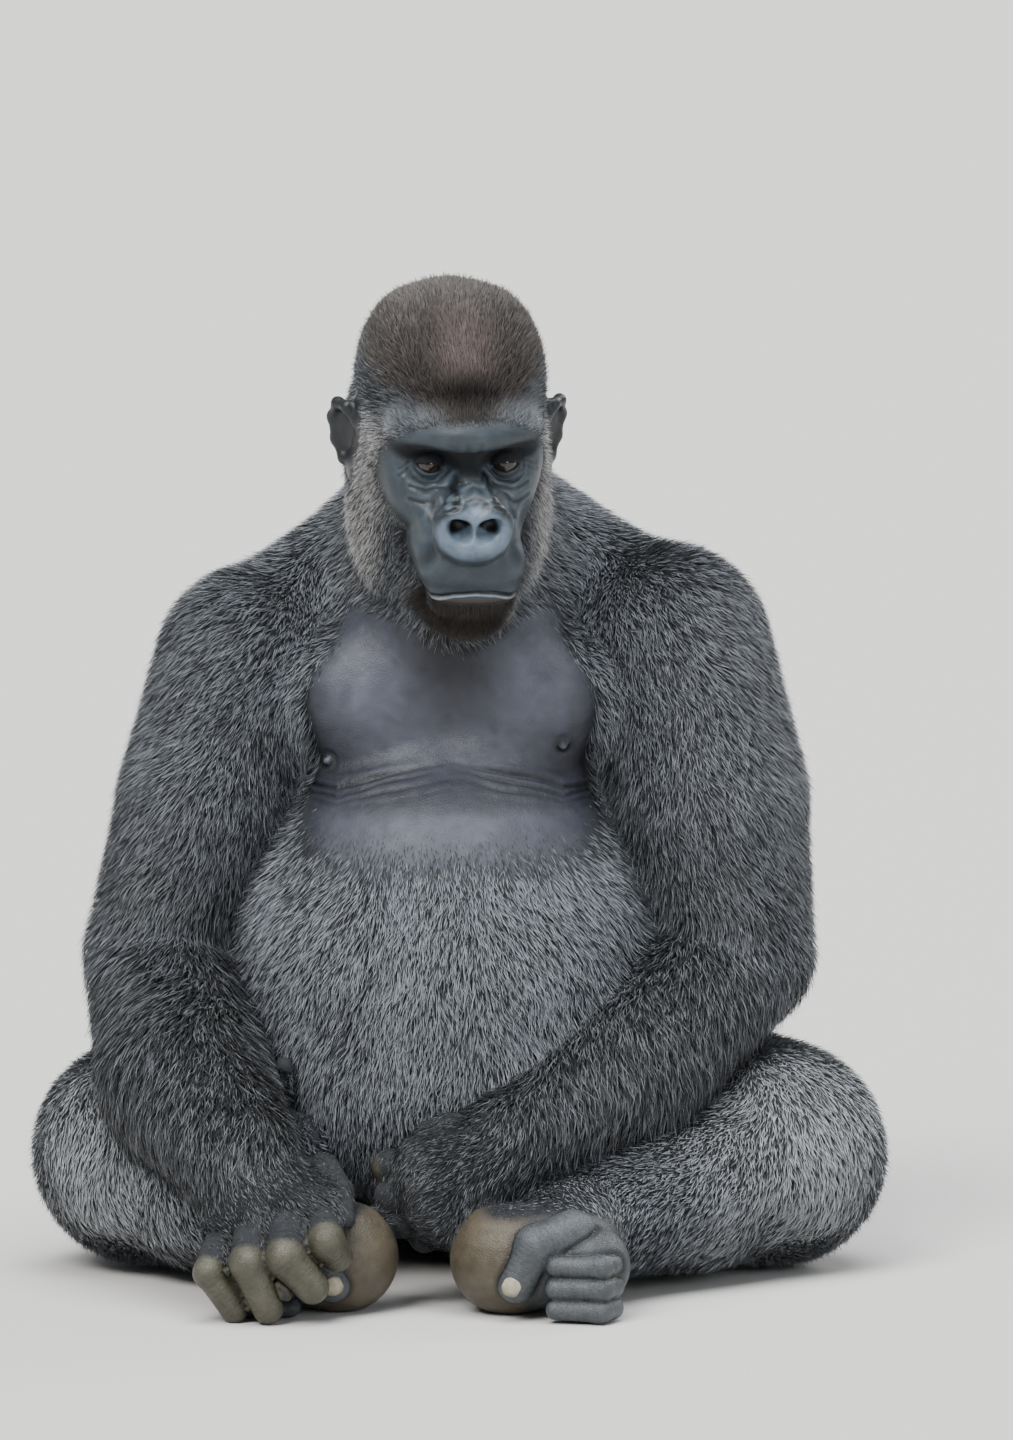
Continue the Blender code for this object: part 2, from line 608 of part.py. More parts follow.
def set_down(nodes):
    """Moves the animal so that the middle of its box is over the origin and its flats are at z = 0."""
    ends = np.concatenate([places(item) for item in nodes])
    low, high = ends.min(axis=0), ends.max(axis=0)
    shift = Vector((-(low[0] + high[0]) / 2, -(low[1] + high[1]) / 2, -low[2]))
    for item in nodes:
        item.data.transform(Matrix.Translation(shift))


def build():
    for item in list(bpy.data.objects):
        bpy.data.objects.remove(item)
    body = body_surface()
    thin_out(body)
    ground = bmesh.new()
    bmesh.ops.create_cube(ground, size=2, matrix=Matrix.Translation((0, 0, -1)))
    combine(body, new_object("ground", ground), "DIFFERENCE")
    keep_largest(body)
    body.vertex_groups.clear()
    nodes = parted(body)
    set_down(nodes)
    gorilla = bpy.data.collections.new("gorilla")
    bpy.context.scene.collection.children.link(gorilla)
    for item in nodes:
        colour(item)
        bpy.context.scene.collection.objects.unlink(item)
        gorilla.objects.link(item)


build()
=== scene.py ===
import math

import bmesh
import bpy
import numpy as np
from mathutils import Euler, Matrix, Vector


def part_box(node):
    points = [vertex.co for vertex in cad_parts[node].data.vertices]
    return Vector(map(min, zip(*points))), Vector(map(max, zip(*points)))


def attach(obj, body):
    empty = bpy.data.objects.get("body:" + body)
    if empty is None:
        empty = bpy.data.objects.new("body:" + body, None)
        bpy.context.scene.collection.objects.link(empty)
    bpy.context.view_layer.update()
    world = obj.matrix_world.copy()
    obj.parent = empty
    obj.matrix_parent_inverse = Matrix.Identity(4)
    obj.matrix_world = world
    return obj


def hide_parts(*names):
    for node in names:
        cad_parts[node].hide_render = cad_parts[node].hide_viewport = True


# One skin over the frame's nodes, and a coat of mesh tufts on the skin. The skin is a level of the same named
# masses that the frame's solids were made from, drawn in by the coat's depth. The face looks towards -Y.
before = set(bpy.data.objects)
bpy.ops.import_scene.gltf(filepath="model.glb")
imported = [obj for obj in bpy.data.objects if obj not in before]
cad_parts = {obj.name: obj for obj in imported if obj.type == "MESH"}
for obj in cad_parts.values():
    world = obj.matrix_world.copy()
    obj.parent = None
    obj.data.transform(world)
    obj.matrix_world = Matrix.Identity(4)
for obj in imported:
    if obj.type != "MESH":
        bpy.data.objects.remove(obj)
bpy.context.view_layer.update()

blend = {"soft": 0.045, "firm": 0.022, "crease": 0.007, "tight": 0.006}
eye = {"apart": 0.0385, "aside": 0.0045, "front": -0.1005, "up": 0.0335, "radius": 0.0135}
headAt = Vector((0.004, -0.136, 0.842))
headTurn = Matrix.Rotation(math.radians(8), 4, "Z") @ Matrix.Rotation(math.radians(20), 4, "X")
joints = {
    "shoulder": {"right": (-0.196, -0.025, 0.612), "left": (0.226, -0.025, 0.628)},
    "biceps": {"right": (-0.245, -0.080, 0.475), "left": (0.270, -0.078, 0.480)},
    "elbow": {"right": (-0.291, -0.085, 0.320), "left": (0.300, -0.085, 0.320)},
    "forearm": {"right": (-0.262, -0.210, 0.212), "left": (0.186, -0.195, 0.224)},
    "wrist": {"right": (-0.205, -0.335, 0.150), "left": (0.068, -0.292, 0.157)},
    "hip": {"right": (-0.105, 0.150, 0.140), "left": (0.105, 0.150, 0.140)},
    "knee": {"right": (-0.304, -0.100, 0.120), "left": (0.335, -0.100, 0.118)},
    "ankle": {"right": (-0.150, -0.315, 0.074), "left": (0.132, -0.330, 0.076)},
    "heel": {"right": (-0.096, -0.365, 0.055), "left": (0.058, -0.378, 0.055)},
    "ball": {"right": (-0.176, -0.372, 0.050), "left": (0.146, -0.408, 0.052)},
}
joints = {name: {side: Vector(at) for side, at in pair.items()} for name, pair in joints.items()}
sign = {"right": -1, "left": 1}
upward = Vector((0, 0, 1))


def headFrame():
    return Matrix.Translation(headAt) @ headTurn


def eyeAt(side):
    return headFrame() @ Vector((sign[side] * eye["apart"] + eye["aside"], eye["front"], eye["up"]))


def boxMiddle(node):
    low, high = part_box(node)
    return (Vector(low) + Vector(high)) / 2


# The frame's solids were moved to stand on the floor over the origin: the eyes tell by how much.
shift = (boxMiddle("eye_left") + boxMiddle("eye_right") - eyeAt("left") - eyeAt("right")) / 2


def ball(at, radii, turn=(0, 0, 0), soft=0.045):
    rotation = Euler([math.radians(a) for a in turn]).to_matrix()
    return {"at": Vector(at), "radii": Vector(radii), "rotation": rotation, "blend": soft}


def rod(start, end, rStart, rEnd, soft=0.045):
    return {"start": Vector(start), "end": Vector(end), "r": (rStart, rEnd), "blend": soft}


def chain(points, radii, soft=0.006):
    return [rod(a, b, ra, rb, soft) for a, b, ra, rb in zip(points, points[1:], radii, radii[1:])]


# signed distance from the points to one mass, negative inside
def distance(mass, points):
    if "radii" in mass:
        local = (points - np.array(mass["at"])) @ np.array(mass["rotation"])
        radii = np.array(mass["radii"])
        inner = np.linalg.norm(local / radii, axis=1)
        outer = np.linalg.norm(local / radii**2, axis=1)
        return inner * (inner - 1) / np.maximum(outer, 1e-9)
    start, axis = np.array(mass["start"]), np.array(mass["end"] - mass["start"])
    along = np.clip((points - start) @ axis / (axis @ axis), 0, 1)
    radius = mass["r"][0] + (mass["r"][1] - mass["r"][0]) * along
    return np.linalg.norm(points - start - along[:, None] * axis, axis=1) - radius


# smooth union of two distance fields
def joined(a, b, radius):
    share = np.maximum(radius - np.abs(a - b), 0) / radius
    return np.minimum(a, b) - share**2 * radius / 4


def field(masses, points):
    total = distance(masses[0], points)
    for mass in masses[1:]:
        total = joined(total, distance(mass, points), mass["blend"])
    return total


# masses moved from a frame of their own into the body's
def placed(masses, place):
    turn = place.to_3x3()
    moved = []
    for mass in masses:
        copy = dict(mass)
        for key in ("at", "start", "end"):
            if key in mass:
                copy[key] = place @ mass[key]
        if "rotation" in mass:
            copy["rotation"] = turn @ mass["rotation"]
        moved.append(copy)
    return moved


# skull, crest, brow, cheeks, muzzle and jaw in the head's own frame, as the frame's head has them
def headMasses():
    masses = [
        ball((0, 0.006, 0.074), (0.093, 0.112, 0.094), soft=0.02),  # braincase
        ball((0, 0.018, 0.116), (0.058, 0.088, 0.060), (-6, 0, 0), 0.03),  # crest
        ball((0, -0.064, 0.092), (0.066, 0.050, 0.046), (20, 0, 0), 0.03),  # forehead
        ball((0, 0.072, -0.010), (0.102, 0.080, 0.115), soft=0.04),  # nape muscles
        ball((0.004, -0.118, -0.046), (0.056, 0.062, 0.056), soft=0.02),  # muzzle
        rod((-0.018, -0.149, -0.0555), (0.033, -0.149, -0.0555), 0.0290, 0.0290, 0.012),  # upper lip
        rod((-0.021, -0.1555, -0.089), (0.038, -0.1555, -0.089), 0.0190, 0.0190, 0.012),  # lower lip
        ball((0.011, -0.126, -0.106), (0.045, 0.047, 0.044), soft=0.016),  # chin
        ball((0, -0.094, 0.030), (0.034, 0.040, 0.044), soft=0.02),  # root of the nose
        rod((0.003, -0.114, 0.048), (0.003, -0.158, 0.018), 0.013, 0.018, 0.02),  # bridge of the nose
        ball((0.003, -0.164, 0.002), (0.032, 0.024, 0.027), soft=0.012),  # nose pad
        ball((0.004, -0.164, -0.028), (0.030, 0.024, 0.024), soft=0.016),  # lip below the nose
    ]
    for s in (-1, 1):
        masses += [
            ball((s * 0.044, 0.006, 0.094), (0.047, 0.086, 0.070), soft=0.03),  # temple muscle
            ball((s * 0.064, -0.020, -0.036), (0.042, 0.064, 0.106), soft=0.03),  # jaw muscle
            ball((s * 0.058, -0.054, 0.030), (0.033, 0.046, 0.044), soft=0.02),  # temple
            rod((s * 0.058, -0.092, 0.073), (s * 0.010, -0.120, 0.077), 0.018, 0.020, 0.02),  # brow
            ball((s * 0.047, -0.090, -0.002), (0.028, 0.032, 0.036), soft=0.02),  # cheekbone
            rod((s * 0.055 + 0.004, 0.006, -0.088), (s * 0.022 + 0.010, -0.100, -0.120), 0.036, 0.029,
                0.03),  # jaw
            ball((s * 0.0225 + 0.003, -0.170, 0.002), (0.018, 0.016, 0.0235), (0, s * -14, 0),
                 0.006),  # nostril
        ]
    return masses


# orbits, nostrils and the line of the mouth, with the blend radius of each
def headHollows():
    hollows = [rod((-0.043, -0.184, -0.0755), (0.055, -0.184, -0.0755), 0.0035, 0.0035, 0.006)]
    for s in (-1, 1):
        at = (s * 0.040 + eye["aside"], -0.128, 0.037)
        hollows += [
            ball(at, (0.028, 0.028, 0.0165), (0, s * 6, s * 14), 0.006),
            ball((s * 0.0165 + 0.003, -0.188, 0.002), (0.0115, 0.012, 0.0085), (0, s * -28, 0), 0.006),
        ]
    return hollows


def earMasses(side):
    s = sign[side]
    rim = [(0.097, -0.012, 0.040), (0.105, -0.004, 0.052), (0.113, 0.010, 0.050), (0.116, 0.018, 0.031),
           (0.112, 0.014, 0.008), (0.105, 0.002, -0.008), (0.098, -0.008, -0.006)]
    return chain([(s * x, y, z) for x, y, z in rim], [0.0062] * len(rim)) + [
        ball((s * 0.102, 0.008, 0.022), (0.009, 0.014, 0.028), (0, 0, s * -40), 0.006)]


def trunkMasses():
    masses = [
        ball((0.004, 0.040, 0.460), (0.215, 0.185, 0.215)),  # rib cage
        ball((0.000, -0.070, 0.318), (0.226, 0.228, 0.228)),  # belly
        ball((-0.004, -0.110, 0.200), (0.180, 0.165, 0.145)),  # lower belly
        ball((0.012, -0.005, 0.588), (0.205, 0.145, 0.135)),  # chest
        ball((0, 0.125, 0.165), (0.205, 0.165, 0.165)),  # hips
        ball((0, 0.120, 0.300), (0.190, 0.150, 0.170)),  # loins
        ball((0.004, 0.140, 0.440), (0.185, 0.105, 0.250), (8, 0, 0)),  # back
        ball((0.016, 0.055, 0.690), (0.150, 0.110, 0.115)),  # hump of the upper back
    ]
    for side, (x, y, z) in joints["shoulder"].items():
        s = sign[side]
        masses += [
            ball((s * 0.080 + 0.008, -0.082, 0.592), (0.110, 0.070, 0.080), (-10, 0, 0), 0.016),  # breast
            ball((s * 0.145, 0.070, 0.470), (0.100, 0.110, 0.200)),  # flank muscle
            ball((s * 0.095, 0.190, 0.118), (0.115, 0.110, 0.118)),  # buttock
            rod((s * 0.060 + 0.016, 0.030, 0.735), (x * 0.95, y + 0.02, z + 0.012), 0.076, 0.088),  # yoke
        ]
    return masses


def neckMasses():
    return [
        rod((0.006, 0.020, 0.680), headAt + Vector((0, 0.040, -0.030)), 0.120, 0.104),
        rod((0.006, -0.070, 0.630), headAt + Vector((0.006, -0.014, -0.100)), 0.070, 0.066),
    ]


def upperArmMasses(side):
    wide = {"right": (0.104, 0.094, 0.083), "left": (0.112, 0.106, 0.085)}[side]
    return chain([joints[name][side] for name in ("shoulder", "biceps", "elbow")], wide)


def forearmMasses(side):
    wide = {"right": (0.083, 0.096, 0.070), "left": (0.083, 0.090, 0.056)}[side]
    return chain([joints[name][side] for name in ("elbow", "forearm", "wrist")], wide)


def thighMasses(side):
    a, b = joints["hip"][side], joints["knee"][side]
    return chain([a, a.lerp(b, 0.5), b], (0.140, 0.126, 0.119))


def shinMasses(side):
    a, b = joints["knee"][side], joints["ankle"][side]
    return chain([a, a.lerp(b, 0.42) + Vector((0, 0, -0.008)), b], (0.108, 0.086, 0.054))


fingers = {  # knuckle, bend, tip and half width
    "right": {
        "index": ((-0.122, -0.405, 0.112), (-0.1155, -0.447, 0.083), (-0.105, -0.436, 0.066), 0.0180),
        "middle": ((-0.155, -0.414, 0.110), (-0.1565, -0.458, 0.068), (-0.130, -0.454, 0.038), 0.0198),
        "ring": ((-0.190, -0.412, 0.102), (-0.194, -0.456, 0.062), (-0.174, -0.452, 0.016), 0.0180),
        "little": ((-0.220, -0.398, 0.090), (-0.233, -0.440, 0.050), (-0.208, -0.438, 0.012), 0.0155),
    },
    "left": {
        "index": ((-0.018, -0.350, 0.150), (-0.053, -0.336, 0.140), (-0.046, -0.298, 0.132), 0.0180),
        "middle": ((-0.016, -0.364, 0.127), (-0.050, -0.346, 0.112), (-0.040, -0.308, 0.106), 0.0190),
        "ring": ((-0.008, -0.364, 0.103), (-0.038, -0.346, 0.088), (-0.026, -0.310, 0.084), 0.0180),
        "little": ((0.006, -0.354, 0.084), (-0.018, -0.338, 0.070), (-0.006, -0.308, 0.068), 0.0165),
    },
}
handShape = {  # palm radii, thumb, and how the fingers swell at knuckle and tip
    "right": {"palm": (0.046, 0.024), "swell": (1.05, 0.90), "thumbR": (0.020, 0.014, 0.010),
              "thumb": [(-0.122, -0.355, 0.140), (-0.102, -0.395, 0.124), (-0.096, -0.424, 0.100)]},
    "left": {"palm": (0.044, 0.030), "swell": (1.10, 0.92), "thumbR": (0.022, 0.016, 0.012),
             "thumb": [(0.034, -0.318, 0.172), (0.006, -0.334, 0.180), (-0.018, -0.336, 0.176)]},
}


def handMasses(side):
    shape, wrist = handShape[side], joints["wrist"][side]
    palm = [rod(wrist, knuckle, *shape["palm"], blend["firm"]) for knuckle, _, _, _ in fingers[side].values()]
    digits = {name: chain([a, b, c], [r * shape["swell"][0], r, r * shape["swell"][1]])
              for name, (a, b, c, r) in fingers[side].items()}
    digits["thumb"] = chain([Vector(p) for p in shape["thumb"]], shape["thumbR"])
    return palm, digits


toeShape = {  # height on the ball of the foot, girth, how far it is tucked behind
    2: (0.005, 0.011, 0), 3: (-0.017, 0.0122, 0), 4: (-0.0385, 0.0118, 0), 5: (-0.0385, 0.0105, 0.026),
}


# a foot that lies on its outer edge, with its sole to the front and its toes folded over the sole
def footMasses(side):
    heel, ballAt, ankle = (joints[name][side] for name in ("heel", "ball", "ankle"))
    along = Vector((ballAt.x - heel.x, ballAt.y - heel.y, 0)).normalized()
    front = Vector((along.y, -along.x, 0)) * sign[side]
    sole = [
        ball(heel, (0.046, 0.046, 0.052), soft=blend["firm"]),
        rod(heel, heel.lerp(ballAt, 0.55), 0.046, 0.042, blend["firm"]),
        rod(heel.lerp(ballAt, 0.5), ballAt, 0.042, 0.041, blend["tight"]),
        rod(ankle, heel.lerp(ballAt, 0.25), 0.052, 0.046, blend["firm"]),
    ]
    hallux = [
        ballAt - along * 0.014 + front * 0.010 + upward * 0.034,
        ballAt - along * 0.044 + front * 0.036 + upward * 0.022,
        ballAt - along * 0.062 + front * 0.045 - upward * 0.016,
    ]
    toes = {"bigToe": chain(hallux, [0.0240, 0.0215, 0.0180])}
    for number, (height, girth, tuck) in toeShape.items():
        base = ballAt + along * (0.028 - tuck * 0.3) + front * (0.014 - tuck) + upward * height
        bend = base + front * 0.024 - along * 0.004
        tip = base + front * 0.032 - along * (0.048 - tuck * 0.5)
        toes[f"toe{number}"] = chain([base, bend, tip], [girth * 1.05, girth, girth * 0.86])
    return sole, toes, along, front


hands = {side: handMasses(side) for side in sign}
feet = {side: footMasses(side) for side in sign}
headParts = placed(headMasses(), headFrame())
hollowParts = placed(headHollows(), headFrame())
earParts = {side: placed(earMasses(side), headFrame()) for side in sign}


# the distance to each region of the body by itself
def groupFields(points):
    found = {"trunk": field(trunkMasses(), points), "neck": field(neckMasses(), points)}
    found["head"] = field(headParts, points)
    for side in sign:
        palm, digits = hands[side]
        sole, toes, _, _ = feet[side]
        found["ear_" + side] = field(earParts[side], points)
        found["upperArm_" + side] = field(upperArmMasses(side), points)
        found["forearm_" + side] = field(forearmMasses(side), points)
        found["palm_" + side] = field(palm, points)
        found["thigh_" + side] = field(thighMasses(side), points)
        found["shin_" + side] = field(shinMasses(side), points)
        found["sole_" + side] = field(sole, points)
        found["digits_" + side] = np.full(len(points), 1.0)
        for digit in digits.values():
            found["digits_" + side] = joined(found["digits_" + side], field(digit, points), blend["crease"])
        found["toes_" + side] = np.full(len(points), 1.0)
        for toe in toes.values():
            found["toes_" + side] = joined(found["toes_" + side], field(toe, points), blend["crease"])
    return found


def hollowed(head, hollows, points):
    for hollow in hollows:
        head = -joined(-head, distance(hollow, points), hollow["blend"])
    return head


# the animal's surface, from the fields of its regions and that of its head
def wholeBody(found, head, points):
    core = joined(found["trunk"], found["neck"], blend["soft"])
    for side in sign:
        core = joined(core, field(upperArmMasses(side)[:1], points), blend["firm"])
        core = joined(core, found["thigh_" + side], blend["firm"])
    core = joined(core, head, blend["firm"])
    for side in sign:
        core = joined(core, found["ear_" + side], blend["tight"])
        arm = joined(found["upperArm_" + side], found["forearm_" + side], blend["tight"])
        arm = joined(arm, found["palm_" + side], blend["firm"])
        core = joined(core, joined(arm, found["digits_" + side], blend["crease"]), blend["crease"])
        leg = joined(found["thigh_" + side], found["shin_" + side], blend["firm"])
        leg = joined(leg, found["sole_" + side], blend["firm"])
        core = joined(core, joined(leg, found["toes_" + side], blend["crease"]), blend["crease"])
    return core


regions = {  # coat depth, tuft length and width, share of pale tufts
    "trunk": {"depth": 0.011, "length": 0.0175, "width": 0.0012, "grey": 0.70},
    "neck": {"depth": 0.012, "length": 0.0190, "width": 0.0011, "grey": 0.58},
    "head": {"depth": 0.010, "length": 0.0150, "width": 0.0010, "grey": 0.20},
    "ear": {"depth": 0.0005, "length": 0.006, "width": 0.0008, "grey": 0.10},
    "upperArm": {"depth": 0.013, "length": 0.0190, "width": 0.0011, "grey": 0.58},
    "forearm": {"depth": 0.015, "length": 0.030, "width": 0.0014, "grey": 0.42},
    "palm": {"depth": 0.006, "length": 0.016, "width": 0.0013, "grey": 0.26},
    "digits": {"depth": 0.0006, "length": 0.010, "width": 0.0011, "grey": 0.14},
    "thigh": {"depth": 0.011, "length": 0.0185, "width": 0.0013, "grey": 0.88},
    "shin": {"depth": 0.010, "length": 0.0185, "width": 0.0013, "grey": 0.68},
    "sole": {"depth": 0.0004, "length": 0.010, "width": 0.0012, "grey": 0.10},
    "toes": {"depth": 0.0003, "length": 0.006, "width": 0.0010, "grey": 0.05},
}
regionBlend = 0.008
# how far these win over their thicker neighbours
thinParts = {"ear": 0.020, "digits": 0.008, "toes": 0.010, "sole": 0.004}


# 0 below low, 1 above high, smooth between; low may be the larger
def ramp(value, low, high):
    share = np.clip((value - low) / (high - low), 0, 1)
    return share * share * (3 - 2 * share)


# the points in the head's own frame
def inHead(points):
    turn = np.array(headTurn.to_3x3())
    return (points - np.array(headAt)) @ turn


# 1 on the bare skin of the face, 0 where it is haired
def faceBareness(points):
    local = inHead(points)
    x, y, z = local[:, 0] - 0.0035, local[:, 1], local[:, 2]
    upper = 1 - (x / 0.092)**2 - ((z - 0.022) / 0.074)**2
    lower = 1 - ((x - 0.004) / 0.062)**4 - np.abs((z + 0.022) / 0.0695)**3
    bare = np.maximum(ramp(upper, -0.25, 0.35), ramp(lower, -0.25, 0.30))
    return bare * ramp(y, -0.040, -0.085)


# 1 on the bare skin of the breast, narrower towards the neck, fading slowly into the coat of the belly
def chestBareness(points, found):
    x, y, z = points.T
    half = 0.158 - 0.045 * ramp(z, 0.585, 0.660)
    bare = ramp(np.abs(x - 0.007) / half, 1.22, 0.80) * ramp(z, 0.355, 0.500) * ramp(z, 0.745, 0.655)
    for side in sign:
        bare *= ramp(found["upperArm_" + side], 0.002, 0.022)
    return bare * ramp(y, 0.0, -0.05) * ramp(found["head"], 0.002, 0.030)


# 1 on the soles, whose skin is bare where they face the front
def soleBareness(points, found):
    weights = shares(found)
    bare = np.zeros(len(points))
    for side in sign:
        _, _, along, front = feet[side]
        off = points - np.array(joints["heel"][side])
        ahead = (points - np.array(joints["ankle"][side])) @ np.array(front)
        near = ramp(weights["sole_" + side] + weights["toes_" + side], 0.40, 0.75)
        high = off[:, 2] - 0.35 * np.maximum(-(off @ np.array(along)), 0)
        bare = np.maximum(bare, near * ramp(ahead, -0.004, 0.016) * ramp(high, 0.050, 0.038))
    return bare


# how much each region counts at each point, by kind of region
def shares(found):
    names = list(found)
    stack = np.stack([found[name] for name in names])
    stack -= np.array([thinParts.get(name.split("_")[0], 0) for name in names])[:, None]
    weight = np.exp(-(stack - stack.min(axis=0)) / regionBlend)
    weight /= weight.sum(axis=0)
    return {name: weight[index] for index, name in enumerate(names)}


# a setting of the regions, blended at each point
def blended(weights, key):
    return sum(weight * regions[name.split("_")[0]][key] for name, weight in weights.items())


def bareness(points, found):
    bare = np.maximum(faceBareness(points), chestBareness(points, found))
    return np.maximum(bare, soleBareness(points, found))


def coatDepth(points, found):
    return blended(shares(found), "depth") * (1 - bareness(points, found))


face = {  # lids, how far the eyes are open, and how far nose and folds are off the head's middle
    "lid": 0.0019, "socket": 0.0012, "openWide": 0.0134, "openHigh": 0.0060,
    "noseAside": 0.0042, "foldAside": 0.006,
    "rim": [(0.0070, -0.1740, 0.0072), (0.0150, -0.1730, 0.0122), (0.0245, -0.1705, 0.0108),
            (0.0312, -0.1670, 0.0015), (0.0308, -0.1680, -0.0110), (0.0235, -0.1725, -0.0210),
            (0.0110, -0.1765, -0.0255), (0.0, -0.1780, -0.0262)],
}


# the head's masses with a finer nose and lips, in the head's own frame
def skinHeadMasses():
    single, perSide = 12, 7  # how many masses lie in the middle, and on each side
    middle, sides = headMasses()[:single], headMasses()[single:]
    masses = middle[:-3]  # the last three are the nose
    masses += [mass for index, mass in enumerate(sides) if index % perSide != perSide - 1]  # no nostrils
    aside = face["noseAside"]
    masses += [
        rod((0.0050, -0.116, 0.036), (aside, -0.150, 0.000), 0.011, 0.0250, 0.010),  # bridge
        ball((aside, -0.154, -0.006), (0.0320, 0.0205, 0.0265), soft=0.008),  # nose behind its rim
        rod((aside - 0.015, -0.1565, 0.0115), (aside + 0.015, -0.1565, 0.0115), 0.0130, 0.0130,
            0.012),  # above the nostrils
        rod((aside, -0.1735, 0.0070), (aside, -0.1800, -0.0200), 0.0036, 0.0040, 0.004),  # septum
    ]
    for s in (-1, 1):
        rim = [(aside + s * x, y, z) for x, y, z in face["rim"]]
        masses += chain(rim[:5], [0.0068] * 5, 0.0085)
        masses += chain(rim[4:], [0.0070, 0.0074, 0.0074, 0.0074], 0.014)
        masses += [
            rod((eye["aside"] + s * 0.066, -0.088, 0.066), (eye["aside"] + s * 0.020, -0.118, 0.0735), 0.014,
                0.016, 0.012),  # edge of the brow
            rod((aside + s * 0.046, -0.112, 0.004), (aside + s * 0.034, -0.140, -0.018), 0.010, 0.012,
                0.012),  # fold beside the nose
        ]
    return masses


# nostrils, orbits and the shade under the brow, cut deeper than in the frame's head
def skinHollows():
    hollows = [rod((-0.046, -0.134, 0.0505), (0.058, -0.134, 0.0505), 0.0110, 0.0110, 0.007)]
    for s in (-1, 1):
        at = (face["noseAside"] + s * 0.0148, -0.1870, -0.0018)
        hollows.append(ball(at, (0.0148, 0.0230, 0.0112), (0, s * -33, 0), 0.003))
        at = (s * 0.0400 + eye["aside"], -0.1240, 0.0400)
        hollows.append(ball(at, (0.0310, 0.0270, 0.0180), (0, s * 4, s * 12), 0.007))
    return hollows


def earHollow(side):
    s = sign[side]
    cup = ball((s * 0.1085, -0.006, 0.024), (0.0065, 0.0110, 0.0170), (0, 0, s * -35), 0.004)
    return placed([cup], headFrame())


faceParts = placed(skinHeadMasses(), headFrame())
faceHollows = placed(skinHollows(), headFrame())
orbits = hollowParts[1::2]  # the frame's hollows without its nostrils and mouth
earHollows = {side: earHollow(side) for side in sign}


# the lids: a ball round each eye, open in the shape of an almond in front
def lidField(points):
    local = inHead(points)
    nearest = np.full(len(points), 1.0)
    for side in sign:
        s = sign[side]
        centre = np.array((s * eye["apart"] + eye["aside"], eye["front"], eye["up"]))
        off = local - centre
        look = off[:, 1] * -1
        x = off[:, 0] * s
        z = off[:, 2] - look * 0.10 - x * 0.10
        high = face["openHigh"] * (1 - 0.25 * np.abs(x) / 0.0128)
        almond = (np.abs(x) / face["openWide"])**2.0 + (np.abs(z) / high)**2
        opening = ramp(almond, 1.25, 0.80) * (look > 0)
        radius = eye["radius"] + face["lid"] - opening * (face["lid"] + face["socket"])
        nearest = np.minimum(nearest, np.linalg.norm(off, axis=1) - radius)
    return nearest


# the skin's own distance field, before the depth of the coat is taken off
def skinBody(points):
    found = groupFields(points)
    head = hollowed(field(faceParts, points), faceHollows + orbits, points)
    for side in sign:
        found["ear_" + side] = hollowed(found["ear_" + side], earHollows[side], points)
    return found, wholeBody(found, joined(head, lidField(points), 0.004), points)


def skinField(points):
    found, body = skinBody(points)
    return body + coatDepth(points, found)


skinMesh = {"rough": 0.0125, "even": 0.0078, "most": 194000}  # spacing of both meshes, most triangles


def allMasses():
    masses = headParts + trunkMasses() + neckMasses()
    for side in sign:
        palm, digits = hands[side]
        sole, toes, _, _ = feet[side]
        masses += upperArmMasses(side) + forearmMasses(side) + thighMasses(side) + shinMasses(side)
        masses += palm + sole + earParts[side]
        for digit in (*digits.values(), *toes.values()):
            masses += digit
    return masses


def newObject(name, points, polygons):
    mesh = bpy.data.meshes.new(name)
    mesh.from_pydata(points.tolist(), [], polygons)
    made = bpy.data.objects.new(name, mesh)
    bpy.context.scene.collection.objects.link(made)
    return made


# a mesh object with a stretched ball for each mass
def blockOut(name, masses):
    ballMesh = bmesh.new()
    bmesh.ops.create_uvsphere(ballMesh, u_segments=22, v_segments=14, radius=1)
    unit = np.array([v.co for v in ballMesh.verts])
    faces = [[v.index for v in polygon.verts] for polygon in ballMesh.faces]
    ballMesh.free()
    points, polygons = [], []
    for mass in masses:
        if "radii" in mass:
            shell = (unit * np.array(mass["radii"])) @ np.array(mass["rotation"]).T
            shell = shell + np.array(mass["at"])
        else:
            axis = mass["end"] - mass["start"]
            turn = np.array(axis.to_track_quat("Z", "Y").to_matrix())
            far = unit[:, 2:] > 0
            centre = np.where(far, np.array(mass["end"]), np.array(mass["start"]))
            shell = (unit * np.where(far, mass["r"][1], mass["r"][0])) @ turn.T + centre
        polygons += [[index + len(points) * len(unit) for index in polygon] for polygon in faces]
        points.append(shell)
    return newObject(name, np.concatenate(points), polygons)


def applyModifier(item, kind, **settings):
    modifier = item.modifiers.new(kind.title(), kind)
    for key, value in settings.items():
        setattr(modifier, key, value)
    with bpy.context.temp_override(object=item, active_object=item, selected_objects=[item]):
        bpy.ops.object.modifier_apply(modifier=modifier.name)


def getPoints(item):
    found = np.empty(len(item.data.vertices) * 3, np.float32)
    item.data.vertices.foreach_get("co", found)
    return found.reshape(-1, 3).astype(np.float64)


def getNormals(item):
    found = np.empty(len(item.data.vertices) * 3, np.float32)
    item.data.vertex_normals.foreach_get("vector", found)
    return found.reshape(-1, 3).astype(np.float64)


def setPoints(item, points):
    item.data.vertices.foreach_set("co", points.astype(np.float32).ravel())
    item.data.update()


# moves the mesh along its normals onto the zero level of a distance field, by no more than most a round
def snap(item, shape, rounds, most=0.02):
    for _ in range(rounds):
        at = getPoints(item)
        step = np.clip(shape(at), -most, most)
        setPoints(item, at - getNormals(item) * step[:, None])


